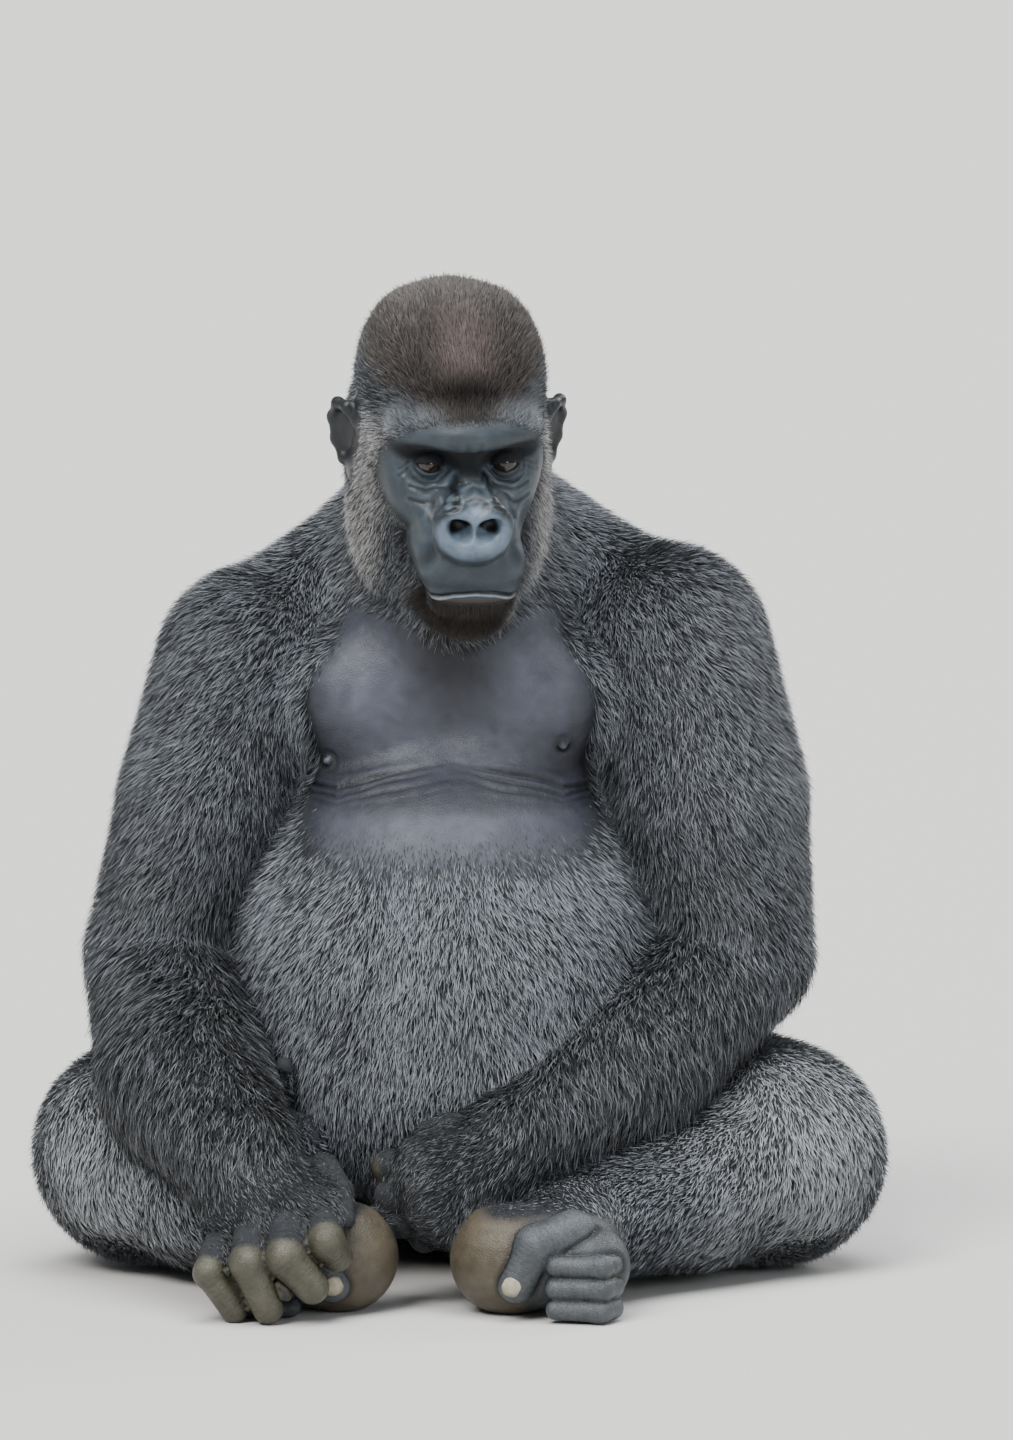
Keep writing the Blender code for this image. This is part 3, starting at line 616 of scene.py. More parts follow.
def relax(item, rounds):
    applyModifier(item, "SMOOTH", factor=0.5, iterations=rounds)


# drops what isn't joined to the biggest shell of a mesh
def keepLargest(item):
    count = len(item.data.vertices)
    ends = np.empty(len(item.data.edges) * 2, np.int32)
    item.data.edges.foreach_get("vertices", ends)
    a, b = ends.reshape(-1, 2).T
    label = np.arange(count)
    while True:
        low = np.minimum(label[a], label[b])
        before = label.copy()
        np.minimum.at(label, a, low)
        np.minimum.at(label, b, low)
        label = label[label]
        if np.array_equal(before, label):
            break
    keep = np.bincount(label, minlength=count).argmax()
    mesh = bmesh.new()
    mesh.from_mesh(item.data)
    mesh.verts.ensure_lookup_table()
    spare = [mesh.verts[index] for index in np.flatnonzero(label != keep)]
    bmesh.ops.delete(mesh, geom=spare, context="VERTS")
    mesh.to_mesh(item.data)
    mesh.free()


# divides the faces whose corners are all near the places given as (centre, reach)
def refine(item, near, cuts):
    at = getPoints(item)
    inside = np.zeros(len(at), bool)
    for centre, reach in near:
        inside |= np.linalg.norm((at - np.array(centre)) / np.array(reach), axis=1) < 1
    mesh = bmesh.new()
    mesh.from_mesh(item.data)
    mesh.edges.ensure_lookup_table()
    edges = [edge for edge in mesh.edges if inside[edge.verts[0].index] and inside[edge.verts[1].index]]
    bmesh.ops.subdivide_edges(mesh, edges=edges, cuts=cuts, use_grid_fill=True)
    mesh.to_mesh(item.data)
    mesh.free()


def inFace(x, y, z):
    return headFrame() @ Vector((x, y, z))


def buildSkin():
    skin = blockOut("underskin", allMasses())
    for spacing, rounds in ((skinMesh["rough"], 3), (skinMesh["even"], 3)):
        applyModifier(skin, "REMESH", mode="VOXEL", voxel_size=spacing)
        snap(skin, skinField, rounds)
    keepLargest(skin)
    relax(skin, 2)
    snap(skin, skinField, 1, 0.004)
    return skin


breast = {  # folds below the breast: height at the sides, rise to the middle, depth and half width
    "folds": ((0.4990, 0.030, 0.0048, 0.0024), (0.4925, 0.031, 0.0034, 0.0020),
              (0.4865, 0.027, 0.0017, 0.0018), (0.5060, 0.019, 0.0012, 0.0018),
              (0.4800, 0.024, 0.0009, 0.0018)),
    "middle": 0.006, "half": 0.115, "nipples": ((-0.1185, -0.1400, 0.5241), (0.1206, -0.1440, 0.5415)),
}


# divides head, hands and feet and lays them on their field again
def workFiner(skin):
    limbs = [(inFace(0, -0.02, 0.0), (0.15, 0.20, 0.20))]
    limbs += [(inFace(s * 0.108, 0, 0.022), (0.030, 0.045, 0.050)) for s in (-1, 1)]
    for side in sign:
        limbs.append((joints["ball"][side].lerp(joints["heel"][side], 0.4), (0.125, 0.105, 0.105)))
    limbs += [(Vector((-0.165, -0.435, 0.060)), (0.105, 0.075, 0.075))]
    limbs += [(Vector((0.006, -0.130, 0.505)), (0.190, 0.090, 0.050))]
    limbs += [(Vector((-0.030, -0.335, 0.115)), (0.060, 0.070, 0.075))]
    refine(skin, limbs, 1)
    relax(skin, 2)
    snap(skin, skinField, 2, 0.003)
    refine(skin, [(inFace(0.003, -0.130, -0.020), (0.088, 0.095, 0.118)),
                  (Vector((0.006, -0.130, 0.502)), (0.180, 0.080, 0.030)),
                  *((Vector(at), (0.030, 0.050, 0.030)) for at in breast["nipples"])], 1)
    relax(skin, 2)
    snap(skin, skinField, 2, 0.002)
    closest = [(inFace(0.004, -0.168, -0.006), (0.048, 0.034, 0.042))]
    closest += [(inFace(0.008, -0.160, -0.078), (0.062, 0.045, 0.017))]
    for s in (-1, 1):
        closest.append((inFace(eye["aside"] + s * eye["apart"], -0.112, eye["up"]), (0.026, 0.024, 0.022)))
    closest += [(inFace(s * 0.108, 0, 0.022), (0.022, 0.034, 0.042)) for s in (-1, 1)]
    for side in sign:
        closest.append((joints["ball"][side] + Vector((0, -0.045, -0.005)), (0.105, 0.055, 0.070)))
    closest += [(Vector((-0.165, -0.440, 0.060)), (0.090, 0.050, 0.070))]
    closest += [(Vector(at), (0.018, 0.050, 0.018)) for at in breast["nipples"]]
    refine(skin, closest, 1)
    relax(skin, 1)
    snap(skin, skinField, 3, 0.0012)
    relax(skin, 1)


creases = [  # places out from the middle of the face and up in mm, depth and half width in mm
    ([(14, 30), (26, 17.5), (43, 13.5), (60, 17)], 1.1, 1.5),
    ([(17, 23), (30, 9.5), (46, 3.5), (60, 5)], 1.3, 1.9),
    ([(20, 31), (31, 22), (45, 20), (56, 24)], 0.7, 1.2),
    ([(11, 32), (24, 18), (37, 9), (44, -8)], 1.1, 2.0),
    ([(40, -30), (46, -42), (54, -52)], 0.8, 4.0),
    ([(0, 34.5), (13, 29.5)], 0.7, 1.2),
    ([(0, 30), (14, 24.5)], 0.6, 1.1),
    ([(0, 25), (13, 20.5)], 0.5, 1.1),
    ([(25, 43), (33, 49.5), (45, 49.5), (55, 44)], 0.8, 1.3),
    ([(60, 36), (70, 30)], 0.7, 1.3),
    ([(61, 31), (71, 24)], 0.7, 1.3),
    ([(5, 59), (7, 72)], 0.40, 2.6),
]
mouth = {  # half of its line and how far the lower lip's edge is below it, in mm
    "line": [(0, -73.0), (20, -75.0), (36, -78.5), (44, -79.5), (51, -76.0)],
    "aside": 0.0083, "depth": 2.6, "half": 1.3, "lip": 3.4, "edge": 1.2, "edgeHalf": 1.9,
}
wings = {  # the fold above each nostril, in mm
    "line": [(0, 8.0), (5, 14.5), (14, 20.5), (25, 19.0), (33.5, 9.5), (37, -3.0)],
    "depth": 0.7, "half": 1.8,
}


# how far the points of a plane are from a path, in the path's units
def toPath(x, z, path):
    best = np.full(len(x), 1e3)
    for (ax, az), (bx, bz) in zip(path, path[1:]):
        dx, dz = bx - ax, bz - az
        share = np.clip(((x - ax) * dx + (z - az) * dz) / (dx * dx + dz * dz), 0, 1)
        best = np.minimum(best, np.hypot(x - ax - share * dx, z - az - share * dz))
    return best


# how deep the creases of the face go at each point, in mm, and how far the mouth is
def grooves(points):
    local = inHead(points)
    front = ramp(local[:, 1], -0.070, -0.095) * (local[:, 2] > -0.12) * (local[:, 2] < 0.10)
    across, up = np.abs(local[:, 0] - face["foldAside"]) * 1000, local[:, 2] * 1000
    move = np.zeros(len(points))
    for path, depth, half in creases:
        away = toPath(across, up, path) / half
        move -= depth * (np.exp(-away**2) - 0.40 * np.exp(-((away - 2.0) / 0.9)**2))
    offNose = local[:, 0] - face["noseAside"]
    move *= ramp(np.hypot(offNose / 0.042, (local[:, 2] + 0.004) / 0.024), 0.95, 1.15)
    toWing = toPath(np.abs(offNose) * 1000, up, wings["line"]) / wings["half"]
    move -= wings["depth"] * np.exp(-toWing**2) * (local[:, 1] < -0.128)
    outward = np.abs(local[:, 0] - mouth["aside"]) * 1000
    low = front * (local[:, 1] < -0.105)
    toMouth = toPath(outward, up, mouth["line"])
    toLip = toPath(outward, up + mouth["lip"], mouth["line"])
    return move * front, np.where(low > 0, toMouth, 1e3), np.where(low > 0, toLip, 1e3)


# creases, the line of the mouth and the lower lip's edge, as small moves along the normals
def carveFace(item):
    points, normals = getPoints(item), getNormals(item)
    move, toMouth, toLip = grooves(points)
    facing = ramp(-(normals @ np.array(headTurn.to_3x3()))[:, 1], 0.15, 0.55)
    move -= mouth["depth"] * np.exp(-(toMouth / mouth["half"])**2)
    move += mouth["edge"] * np.exp(-(toLip / mouth["edgeHalf"])**2)
    setPoints(item, points + normals * (move * facing / 1000)[:, None])


digitSkin = {"ring": 0.0006, "seam": 0.0026, "apart": 0.0052, "gap": 0.0028}  # depths, spacing, gap's width


# 1 in the gaps between neighbouring digits, and between the digits and the palm or sole
def digitSeams(points):
    seam = np.zeros(len(points))
    for side in sign:
        for group, root in ((hands[side][1], hands[side][0]), (feet[side][1], feet[side][0])):
            stack = np.stack([field(bones, points) for bones in group.values()])
            stack.sort(axis=0)
            gap = np.minimum(stack[1], field(root, points) + 0.001) - stack[0]
            seam = np.maximum(seam, np.exp(-(gap / digitSkin["gap"])**2) * ramp(stack[0], 0.010, 0.004))
    return seam


# 1 in the rings of wrinkles round the fingers and toes
def ringWaves(points):
    waves = np.zeros(len(points))
    for side in sign:
        for group in (hands[side][1], feet[side][1]):
            for bones in group.values():
                for bone in bones:
                    start, axis = np.array(bone["start"]), np.array(bone["end"] - bone["start"])
                    size = np.linalg.norm(axis)
                    off = points - start
                    along = off @ axis / size
                    radius = max(bone["r"])
                    out = np.linalg.norm(off - (along / size)[:, None] * axis, axis=1)
                    near = ramp(out, radius * 1.4, radius * 1.05)
                    near *= ramp(along, -0.008, 0.0) * ramp(along, size + 0.008, size)
                    wavy = along + 0.0022 * lattice(points, 0.009, 51)
                    ring = np.cos(wavy / digitSkin["apart"] * math.tau)
                    part = 0.6 + 0.6 * lattice(points, 0.012, 52)
                    waves = np.maximum(waves, near * part * np.maximum(ring, 0)**3)
    return waves


# wrinkles of fingers and toes, and the gaps between them
def ringWrinkles(item):
    points, normals = getPoints(item), getNormals(item)
    move = -digitSkin["ring"] * ringWaves(points) - digitSkin["seam"] * digitSeams(points)
    setPoints(item, points + normals * move[:, None])


# the folds below the breast muscles: how far the skin moves in metres
def chestFold(points):
    x, y, z = points.T
    aside = np.abs(x - breast["middle"])
    front = (y < -0.05) * ramp(aside, 0.172, 0.140)
    front = front * (0.30 + 0.70 * ramp(aside, 0.012, 0.060))
    move = np.zeros(len(points))
    for index, (level, rise, depth, half) in enumerate(breast["folds"]):
        line = level + rise * np.maximum(0, 1 - aside / breast["half"])**0.8
        line += 0.0016 * lattice(points, 0.030, 31 + index)
        off = (z - line) / half
        part = 0.65 + 0.35 * lattice(points, 0.025, 61 + index)
        move -= depth * part * (np.exp(-off**2) - 0.45 * np.exp(-((off - 2.4) / 1.5)**2)) * front
    return move


# the folds below the breast muscles, the hollow of the breastbone and the nipples
def chestDetail(item):
    points, normals = getPoints(item), getNormals(item)
    x, y, z = points.T
    move = chestFold(points)
    middle = np.exp(-((x - breast["middle"]) / 0.024)**2)
    move -= 0.007 * middle * ramp(z, 0.520, 0.560) * ramp(z, 0.690, 0.630) * (y < -0.05)
    for at in breast["nipples"]:
        away = np.hypot(x - at[0], z - at[2]) + (y > -0.05)
        move += 0.0050 * np.exp(-(away / 0.0044)**4) - 0.0012 * np.exp(-((away - 0.0085) / 0.003)**2)
    setPoints(item, points + normals * move[:, None])


# smooth noise from -1 to 1 with cells of this size, the same on every run
def lattice(points, size, seed):
    table = np.random.default_rng(seed).uniform(-1, 1, (64, 64, 64))
    scaled = points / size
    cell = np.floor(scaled).astype(int)
    part = scaled - cell
    part = part * part * (3 - 2 * part)
    total = np.zeros(len(points))
    for corner in np.ndindex(2, 2, 2):
        weight = np.prod(np.where(np.array(corner) == 1, part, 1 - part), axis=1)
        index = (cell + corner) % 64
        total += weight * table[index[:, 0], index[:, 1], index[:, 2]]
    return total


palette = {  # linear red, green and blue
    "dark": (0.0150, 0.0170, 0.0205), "pale": (0.290, 0.315, 0.350),
    "armDark": (0.0150, 0.0168, 0.0190), "armPale": (0.155, 0.167, 0.183),
    "shoulderDark": (0.0200, 0.0222, 0.0260), "shoulderPale": (0.205, 0.222, 0.248),
    "crown": (0.036, 0.031, 0.028), "crownPale": (0.125, 0.108, 0.100),
    "crownRed": (0.225, 0.168, 0.158),
    "peak": (0.024, 0.019, 0.017), "cheek": (0.022, 0.022, 0.023), "cheekPale": (0.50, 0.49, 0.485),
    "beard": (0.020, 0.014, 0.010), "kneePale": (0.42, 0.44, 0.465),
    # the nose's and the lower lip's tones are their skin painted paler with painted highlights
    "faceSkin": (0.029, 0.039, 0.048), "noseSkinAndHighlight": (0.104, 0.139, 0.182), "lipSkinAndHighlight": (0.19, 0.215, 0.24),
    "chestSkin": (0.032, 0.034, 0.045), "soleSkin": (0.068, 0.056, 0.038), "handSkin": (0.020, 0.022, 0.025),
    "fingerSkin": (0.072, 0.068, 0.048), "toeSkin": (0.054, 0.060, 0.066), "earSkin": (0.013, 0.015, 0.017),
    # the near black below is painted shade: under the brow, inside the nostrils, in the line of the mouth and
    # round the nipples
    "paintedShadeBlack": (0.008, 0.009, 0.011), "nail": (0.30, 0.27, 0.20), "nailTip": (0.16, 0.14, 0.10),
}
palette = {name: np.array(colour) for name, colour in palette.items()}


def mixed(a, b, share):
    return a + (b - a) * share[:, None]


# dark hair, pale hair and the share of pale hair at each point
def coatColours(points, weights):
    count = len(points)
    dark = np.tile(palette["dark"], (count, 1))
    pale = np.tile(palette["pale"], (count, 1))
    grey = blended(weights, "grey")
    arm = np.zeros(count)
    knee = np.zeros(count)
    for side in sign:
        lower = weights["forearm_" + side] + weights["palm_" + side] + weights["digits_" + side]
        arm = np.maximum(arm, lower)
        away = np.linalg.norm(points - np.array(joints["knee"][side]), axis=1)
        knee = np.maximum(knee, ramp(away, 0.24, 0.12) * (weights["thigh_" + side] + weights["shin_" + side]))
        elbowAway = np.linalg.norm(points - np.array(joints["elbow"][side]), axis=1)
        arm = np.maximum(arm, ramp(elbowAway, 0.19, 0.07) * weights["upperArm_" + side])
    shoulder = weights["neck"] + sum(weights["upperArm_" + side] for side in sign)
    dark = mixed(dark, palette["shoulderDark"], shoulder)
    pale = mixed(pale, palette["shoulderPale"], shoulder)
    dark = mixed(dark, palette["armDark"], arm)
    pale = mixed(pale, palette["armPale"], arm)
    pale = mixed(pale, palette["kneePale"], knee)
    head = weights["head"]
    local = inHead(points)
    x, y, z = local[:, 0] - 0.003, local[:, 1], local[:, 2]
    hairline = z - 0.30 * np.maximum(np.abs(x) - 0.020, 0) + 0.005 * lattice(points, 0.018, 5)
    crown = head * ramp(hairline, 0.072, 0.098)
    dark = mixed(dark, palette["crown"], crown)
    pale = mixed(pale, palette["crownPale"], crown)
    red = crown * ramp(np.hypot(x / 0.028, (z - 0.136) / 0.026), 1.5, 0.3) * (y < 0.02)
    dark = mixed(dark, palette["crownRed"], red)
    peak = head * ramp(np.hypot(x / 0.030, (z - 0.101) / 0.020), 1.4, 0.3) * (y < -0.03)
    dark = mixed(dark, palette["peak"], peak)
    pale = mixed(pale, palette["crown"], peak)
    cheek = head * ramp(np.abs(x), 0.060, 0.085) * ramp(z, 0.075, 0.045) * ramp(y, 0.075, 0.030)
    dark = mixed(dark, palette["cheek"], cheek)
    pale = mixed(pale, palette["cheekPale"], cheek)
    beard = head * ramp(z, -0.078, -0.095) * ramp(y, -0.070, -0.095)
    dark = mixed(dark, palette["beard"], beard)
    pale = mixed(pale, palette["beard"] * 2, beard)
    brow = head * ramp(y, -0.045, -0.080) * ramp(z, 0.060, 0.072) * ramp(z, 0.104, 0.092)
    grey = grey + crown * 0.30 - peak * 0.3 + cheek * 0.40 + brow * 0.75 + knee * 0.12 - beard * 0.3
    patches = 1 + 0.20 * lattice(points, 0.045, 1) + 0.22 * lattice(points, 0.012, 2)
    grey = grey * patches
    return dark, pale, np.clip(grey, 0.02, 0.95)


# 1 where the shade under the brow is painted black, down to the eyes and across the root of the nose
def browShade(points):
    local = inHead(points)
    x, y, z = local[:, 0] - face["foldAside"], local[:, 1], local[:, 2]
    orbit = ramp(np.hypot((np.abs(x) - 0.032) / 0.050, (z - 0.0510) / 0.0150), 1.20, 0.80)
    orbit = orbit * ramp(y, -0.134, -0.128)
    between = ramp(z, 0.0600, 0.0575) * ramp(z, 0.0310, 0.0380) * ramp(np.abs(x), 0.066, 0.052)
    between = between * ramp(y, -0.148, -0.142)
    return 0.95 * np.maximum(orbit, between)


# 1 on the bare outer side of the fingers past the knuckle; only one crescent shows on the left
def fingerBareness(points, side):
    bare = np.zeros(len(points))
    for name, (knuckle, bend, tip, half) in fingers[side].items():
        if side == "left" and name != "index":
            continue
        start, end = np.array(knuckle), np.array(bend)
        axis = (end - start) / np.linalg.norm(end - start)
        past = (points - start) @ axis - np.linalg.norm(end - start)
        bones = chain([knuckle, bend, tip], [half] * 3)
        near = ramp(field(bones, points), 0.006, 0.002)
        low, high = (-0.014, -0.004) if side == "right" else (0.002, 0.010)
        bare = np.maximum(bare, near * ramp(past, low, high))
    return bare


# violet grey, with painted highlights on the swell of the breast, above its fold and on the upper belly, and
# painted shade in its middle, towards the armpits, under it and in its folds
def breastSkinAndPaintedLight(points):
    x, _, z = points.T
    aside = np.abs(x - breast["middle"])
    swell = np.exp(-((aside - 0.080) / 0.045)**2 - ((z - 0.600) / 0.050)**2)
    belly = np.exp(-(aside / 0.120)**2) * ramp(z, 0.490, 0.470)
    low = np.exp(-(aside / 0.060)**2 - ((z - 0.535) / 0.022)**2)
    middle = ramp(aside, 0.080, 0.020) * ramp(z, 0.570, 0.625)
    armpit = ramp(aside, 0.110, 0.150)
    under = ramp(aside, 0.050, 0.100) * np.exp(-((z - 0.522) / 0.016)**2)
    tone = 0.90 + 1.60 * swell + 1.30 * belly + 0.80 * low - 0.62 * middle - 0.50 * armpit - 0.42 * under
    # painted shade in the folds below the breast
    tone *= np.exp(360 * np.minimum(chestFold(points), 0))
    colour = palette["chestSkin"] * np.clip(tone, 0.20, 2.6)[:, None]
    for at in breast["nipples"]:
        # a painted shadow ring round each nipple, and a lighter tip
        away = np.hypot(x - at[0], z - at[2])
        colour = mixed(colour, palette["paintedShadeBlack"] * 1.6, ramp(away, 0.013, 0.006))
        colour = mixed(colour, palette["chestSkin"] * 2.2, ramp(away, 0.0045, 0.0030))
    return colour


# the bare skin's colour where it is bare and the coat's dark where it is haired, with painted shade and
# painted highlights on the face, breast and digits
def skinColours(points, found, weights):
    dark, pale, grey = coatColours(points, weights)
    local = inHead(points)
    x, y, z = local[:, 0] - face["noseAside"], local[:, 1], local[:, 2]
    colour = mixed(dark, pale, grey * 0.25) * 0.55
    colour = colour * (1 - 0.55 * weights["head"] * ramp(z, 0.080, 0.105))[:, None]
    bareFace = faceBareness(points)
    colour = mixed(colour, palette["faceSkin"], bareFace)
    colour = mixed(colour, palette["beard"] * 1.3, bareFace * ramp(z, -0.0800, -0.0840))
    move, toMouth, toLip = grooves(points)
    # painted shade: darker in the creases of the face and the folds above the nostrils, the deeper the darker
    colour = colour * np.exp(0.75 * move)[:, None]
    # the nose's skin painted paler: partly its own tone, partly painted highlight
    nose = ramp(np.hypot(x / 0.0385, (z + 0.0075) / 0.0270), 1.08, 0.90) * ramp(y, -0.150, -0.160)
    nose *= ramp(z, -0.040, -0.020)
    colour = mixed(colour, palette["noseSkinAndHighlight"], nose * bareFace)
    # painted shade: the insides of the nostrils painted near black
    for s in (-1, 1):
        slant = (x - s * 0.0143) * s * 0.545 + (z + 0.0005) * 0.839
        long = (x - s * 0.0143) * s * 0.839 - (z + 0.0005) * 0.545
        nostril = ramp(np.hypot(long / 0.0118, slant / 0.0082), 1.15, 0.80) * (y < -0.150)
        colour = mixed(colour, palette["paintedShadeBlack"] * 0.4, nostril)
    # the lower lip's edge: its paler skin and a painted highlight along it
    lip = np.exp(-(toLip / 1.2)**2) * bareFace
    colour = mixed(colour, palette["lipSkinAndHighlight"], np.clip(lip, 0, 1))
    # painted shade: the line of the mouth painted near black
    gap = np.clip(np.exp(-(toMouth / 1.4)**2) * 1.2, 0, 1)
    colour = mixed(colour, palette["paintedShadeBlack"], gap * bareFace)
    # painted shade: black under the brow, over the lids and across the root of the nose
    colour = mixed(colour, palette["paintedShadeBlack"], browShade(points) * bareFace)
    chest = chestBareness(points, found)
    # the breast's skin with its painted highlights and painted shade
    colour = mixed(colour, breastSkinAndPaintedLight(points), chest)
    for side in sign:
        sole = soleBareness(points, found)
        far = (points - np.array(joints["heel"][side])) @ np.array(feet[side][2])
        far = ramp(far, 0.028, 0.046) * (weights["sole_" + side] + weights["toes_" + side] > 0.4)
        colour = mixed(colour, palette["soleSkin"], sole * (found["sole_" + side] < 0.02))
        colour = mixed(colour, palette["toeSkin"] * 0.7, sole * far)
        colour = mixed(colour, palette["handSkin"], ramp(weights["digits_" + side], 0.40, 0.75))
        colour = mixed(colour, palette["fingerSkin"] * 0.85, fingerBareness(points, side))
        clear = ramp(found["toes_" + side] - found["sole_" + side], 0.003, -0.001)
        colour = mixed(colour, palette["toeSkin"], clear * ramp(found["toes_" + side], 0.006, 0.003))
        colour = mixed(colour, palette["earSkin"], ramp(weights["ear_" + side], 0.40, 0.80))
    # painted shade: darker in the gaps between the digits and in the rings of wrinkles round them
    colour = colour * ((1 - 0.85 * digitSeams(points)) * (1 - 0.32 * ringWaves(points)))[:, None]
    mottle = 1 + 0.22 * lattice(points, 0.010, 3) + 0.16 * lattice(points, 0.003, 4)
    return colour * np.clip(mottle, 0.4, 1.6)[:, None]


def nodeMaterial(name, roughness):
    material = bpy.data.materials.new(name)
    material.use_nodes = True
    shader = material.node_tree.nodes["Principled BSDF"]
    shader.inputs["Roughness"].default_value = roughness
    return material, material.node_tree.nodes, material.node_tree.links, shader


def attributeNode(nodes, name):
    node = nodes.new("ShaderNodeAttribute")
    node.attribute_name = name
    return node


def newNode(nodes, kind, values, operation=None):
    node = nodes.new("ShaderNode" + kind)
    if operation:
        node.operation = operation
    for socket, value in values.items():
        node.inputs[socket].default_value = value
    return node


# leathery skin: cells and fine lines in the bump, satin shine where it is bare
def skinMaterial():
    material, nodes, links, shader = nodeMaterial("skin", 0.5)
    place = nodes.new("ShaderNodeTexCoord")
    tint, bare = attributeNode(nodes, "tint"), attributeNode(nodes, "bare")
    cells = newNode(nodes, "TexVoronoi", {"Scale": 420})
    cells.feature = "DISTANCE_TO_EDGE"
    fine = newNode(nodes, "TexNoise", {"Scale": 900, "Detail": 3})
    broad = newNode(nodes, "TexNoise", {"Scale": 130, "Detail": 5})
    for texture in (cells, fine, broad):
        links.new(place.outputs["Object"], texture.inputs["Vector"])
    total = newNode(nodes, "Math", {1: 0.8}, "MULTIPLY_ADD")
    links.new(cells.outputs["Distance"], total.inputs[0])
    links.new(broad.outputs["Fac"], total.inputs[2])
    more = newNode(nodes, "Math", {1: 0.35}, "MULTIPLY_ADD")
    links.new(fine.outputs["Fac"], more.inputs[0])
    links.new(total.outputs[0], more.inputs[2])
    rough = attributeNode(nodes, "rough")
    bump = newNode(nodes, "Bump", {"Distance": 0.0009})
    links.new(rough.outputs["Fac"], bump.inputs["Strength"])
    links.new(more.outputs[0], bump.inputs["Height"])
    links.new(bump.outputs["Normal"], shader.inputs["Normal"])
    links.new(tint.outputs["Color"], shader.inputs["Base Color"])
    gloss = newNode(nodes, "MapRange", {"To Min": 0.95, "To Max": 0.42})  # haired, bare
    links.new(bare.outputs["Fac"], gloss.inputs["Value"])
    links.new(gloss.outputs["Result"], shader.inputs["Roughness"])
    shader.inputs["Specular IOR Level"].default_value = 0.34
    return material


def addAttribute(mesh, name, kind, values):
    layer = mesh.attributes.new(name, kind, "POINT")
    key = "color" if kind == "FLOAT_COLOR" else "value"
    layer.data.foreach_set(key, values.astype(np.float32).ravel())


def withAlpha(colour):
    return np.concatenate([colour, np.ones((len(colour), 1))], axis=1)


coatPieces = {  # regions, side of the middle (1 for left, 2 for back), how often the tufts cover the skin
    "coatHeadRight": (("head", "ear_right"), -1, 4.2), "coatHeadLeft": (("head", "ear_left"), 1, 4.2),
    "coatNeck": (("neck",), 0, 2.6), "coatFront": (("trunk",), -2, 3.2), "coatBack": (("trunk",), 2, 1.9),
    "coatArmRight": (("upperArm_right",), 0, 3.0), "coatArmLeft": (("upperArm_left",), 0, 3.0),
    "coatForearmRight": (("forearm_right", "palm_right", "digits_right"), 0, 3.4),
    "coatForearmLeft": (("forearm_left", "palm_left", "digits_left"), 0, 3.4),
    "coatThighRight": (("thigh_right",), 0, 2.2), "coatThighLeft": (("thigh_left",), 0, 2.2),
    "coatShinRight": (("shin_right", "sole_right", "toes_right"), 0, 2.6),
    "coatShinLeft": (("shin_left", "sole_left", "toes_left"), 0, 2.6),
}
coat = {  # most tufts a piece, height of the tips in the coat, share that strays out, blade's rows and widths
    "most": 64000, "rise": 0.86, "stray": 0.12, "steps": (0.0, 0.48, 1.0), "widths": (0.9, 0.85, 0.0),
    "root": 0.0012, "roll": 0.42, "lowest": 0.0006, "patch": 0.0015,
}


def unit(vectors):
    return vectors / np.maximum(np.linalg.norm(vectors, axis=1), 1e-9)[:, None]


# which way the hair lies at each point, along the skin
def hairFlow(points, normals, weights):
    x = points[:, 0]
    s = np.sign(x - 0.004)
    ones = np.ones(len(points))

    def toward(dx, dy, dz):
        return np.stack([dx * ones, dy * ones, dz * ones], axis=1)

    trunk = toward(s * np.abs(x) * 1.6, 0, -1)
    flow = weights["trunk"][:, None] * trunk
    flow += weights["neck"][:, None] * toward(s * 0.9, 0.25, -1)
    local = inHead(points)
    u, v, w = local.T
    crown = toward(u * 1.5, 0.9, 0.35 - 1.7 * ramp(v, 0.010, 0.070))
    front = toward((u - 0.003) * 9, 0.6, 1.0)
    side = toward(s * 0.25, 0.35, -1)
    chin = toward(u * 3, -0.25, -1)
    frontShare = ramp(v, -0.030, -0.070) * ramp(w, 0.055, 0.075)
    head = mixed(crown, front, frontShare)
    head = mixed(head, side, ramp(w, 0.085, 0.040))
    head = mixed(head, chin, ramp(v, -0.06, -0.10) * ramp(w, -0.04, -0.08))
    flow += weights["head"][:, None] * (head @ np.array(headTurn.to_3x3()).T)
    for name, at in sign.items():
        arm = joints["elbow"][name] - joints["shoulder"][name]
        fore = joints["wrist"][name] - joints["elbow"][name]
        thigh = joints["knee"][name] - joints["hip"][name]
        shin = joints["ankle"][name] - joints["knee"][name]
        knuckles = Vector(fingers[name]["middle"][0]) - joints["wrist"][name]
        _, _, along, _ = feet[name]
        ways = {
            "upperArm_": arm.normalized() + Vector((at * 0.25, 0.10, -0.1)),
            "forearm_": fore.normalized() * 0.55 + Vector((at * 0.45, 0.0, -0.75)),
            "palm_": knuckles.normalized() + Vector((0, 0, -0.15)),
            "digits_": knuckles.normalized(),
            "thigh_": thigh.normalized() * 0.9 + Vector((0, 0, -0.6)),
            "shin_": shin.normalized() * 0.9 + Vector((0, -0.2, -0.55)),
            "sole_": along + Vector((0, 0, -0.5)), "toes_": along, "ear_": Vector((at * 0.3, 0.5, -0.5)),
        }
        for kind, way in ways.items():
            flow += weights[kind + name][:, None] * np.array(way)
    flow -= normals * np.sum(flow * normals, axis=1)[:, None]
    return unit(flow)


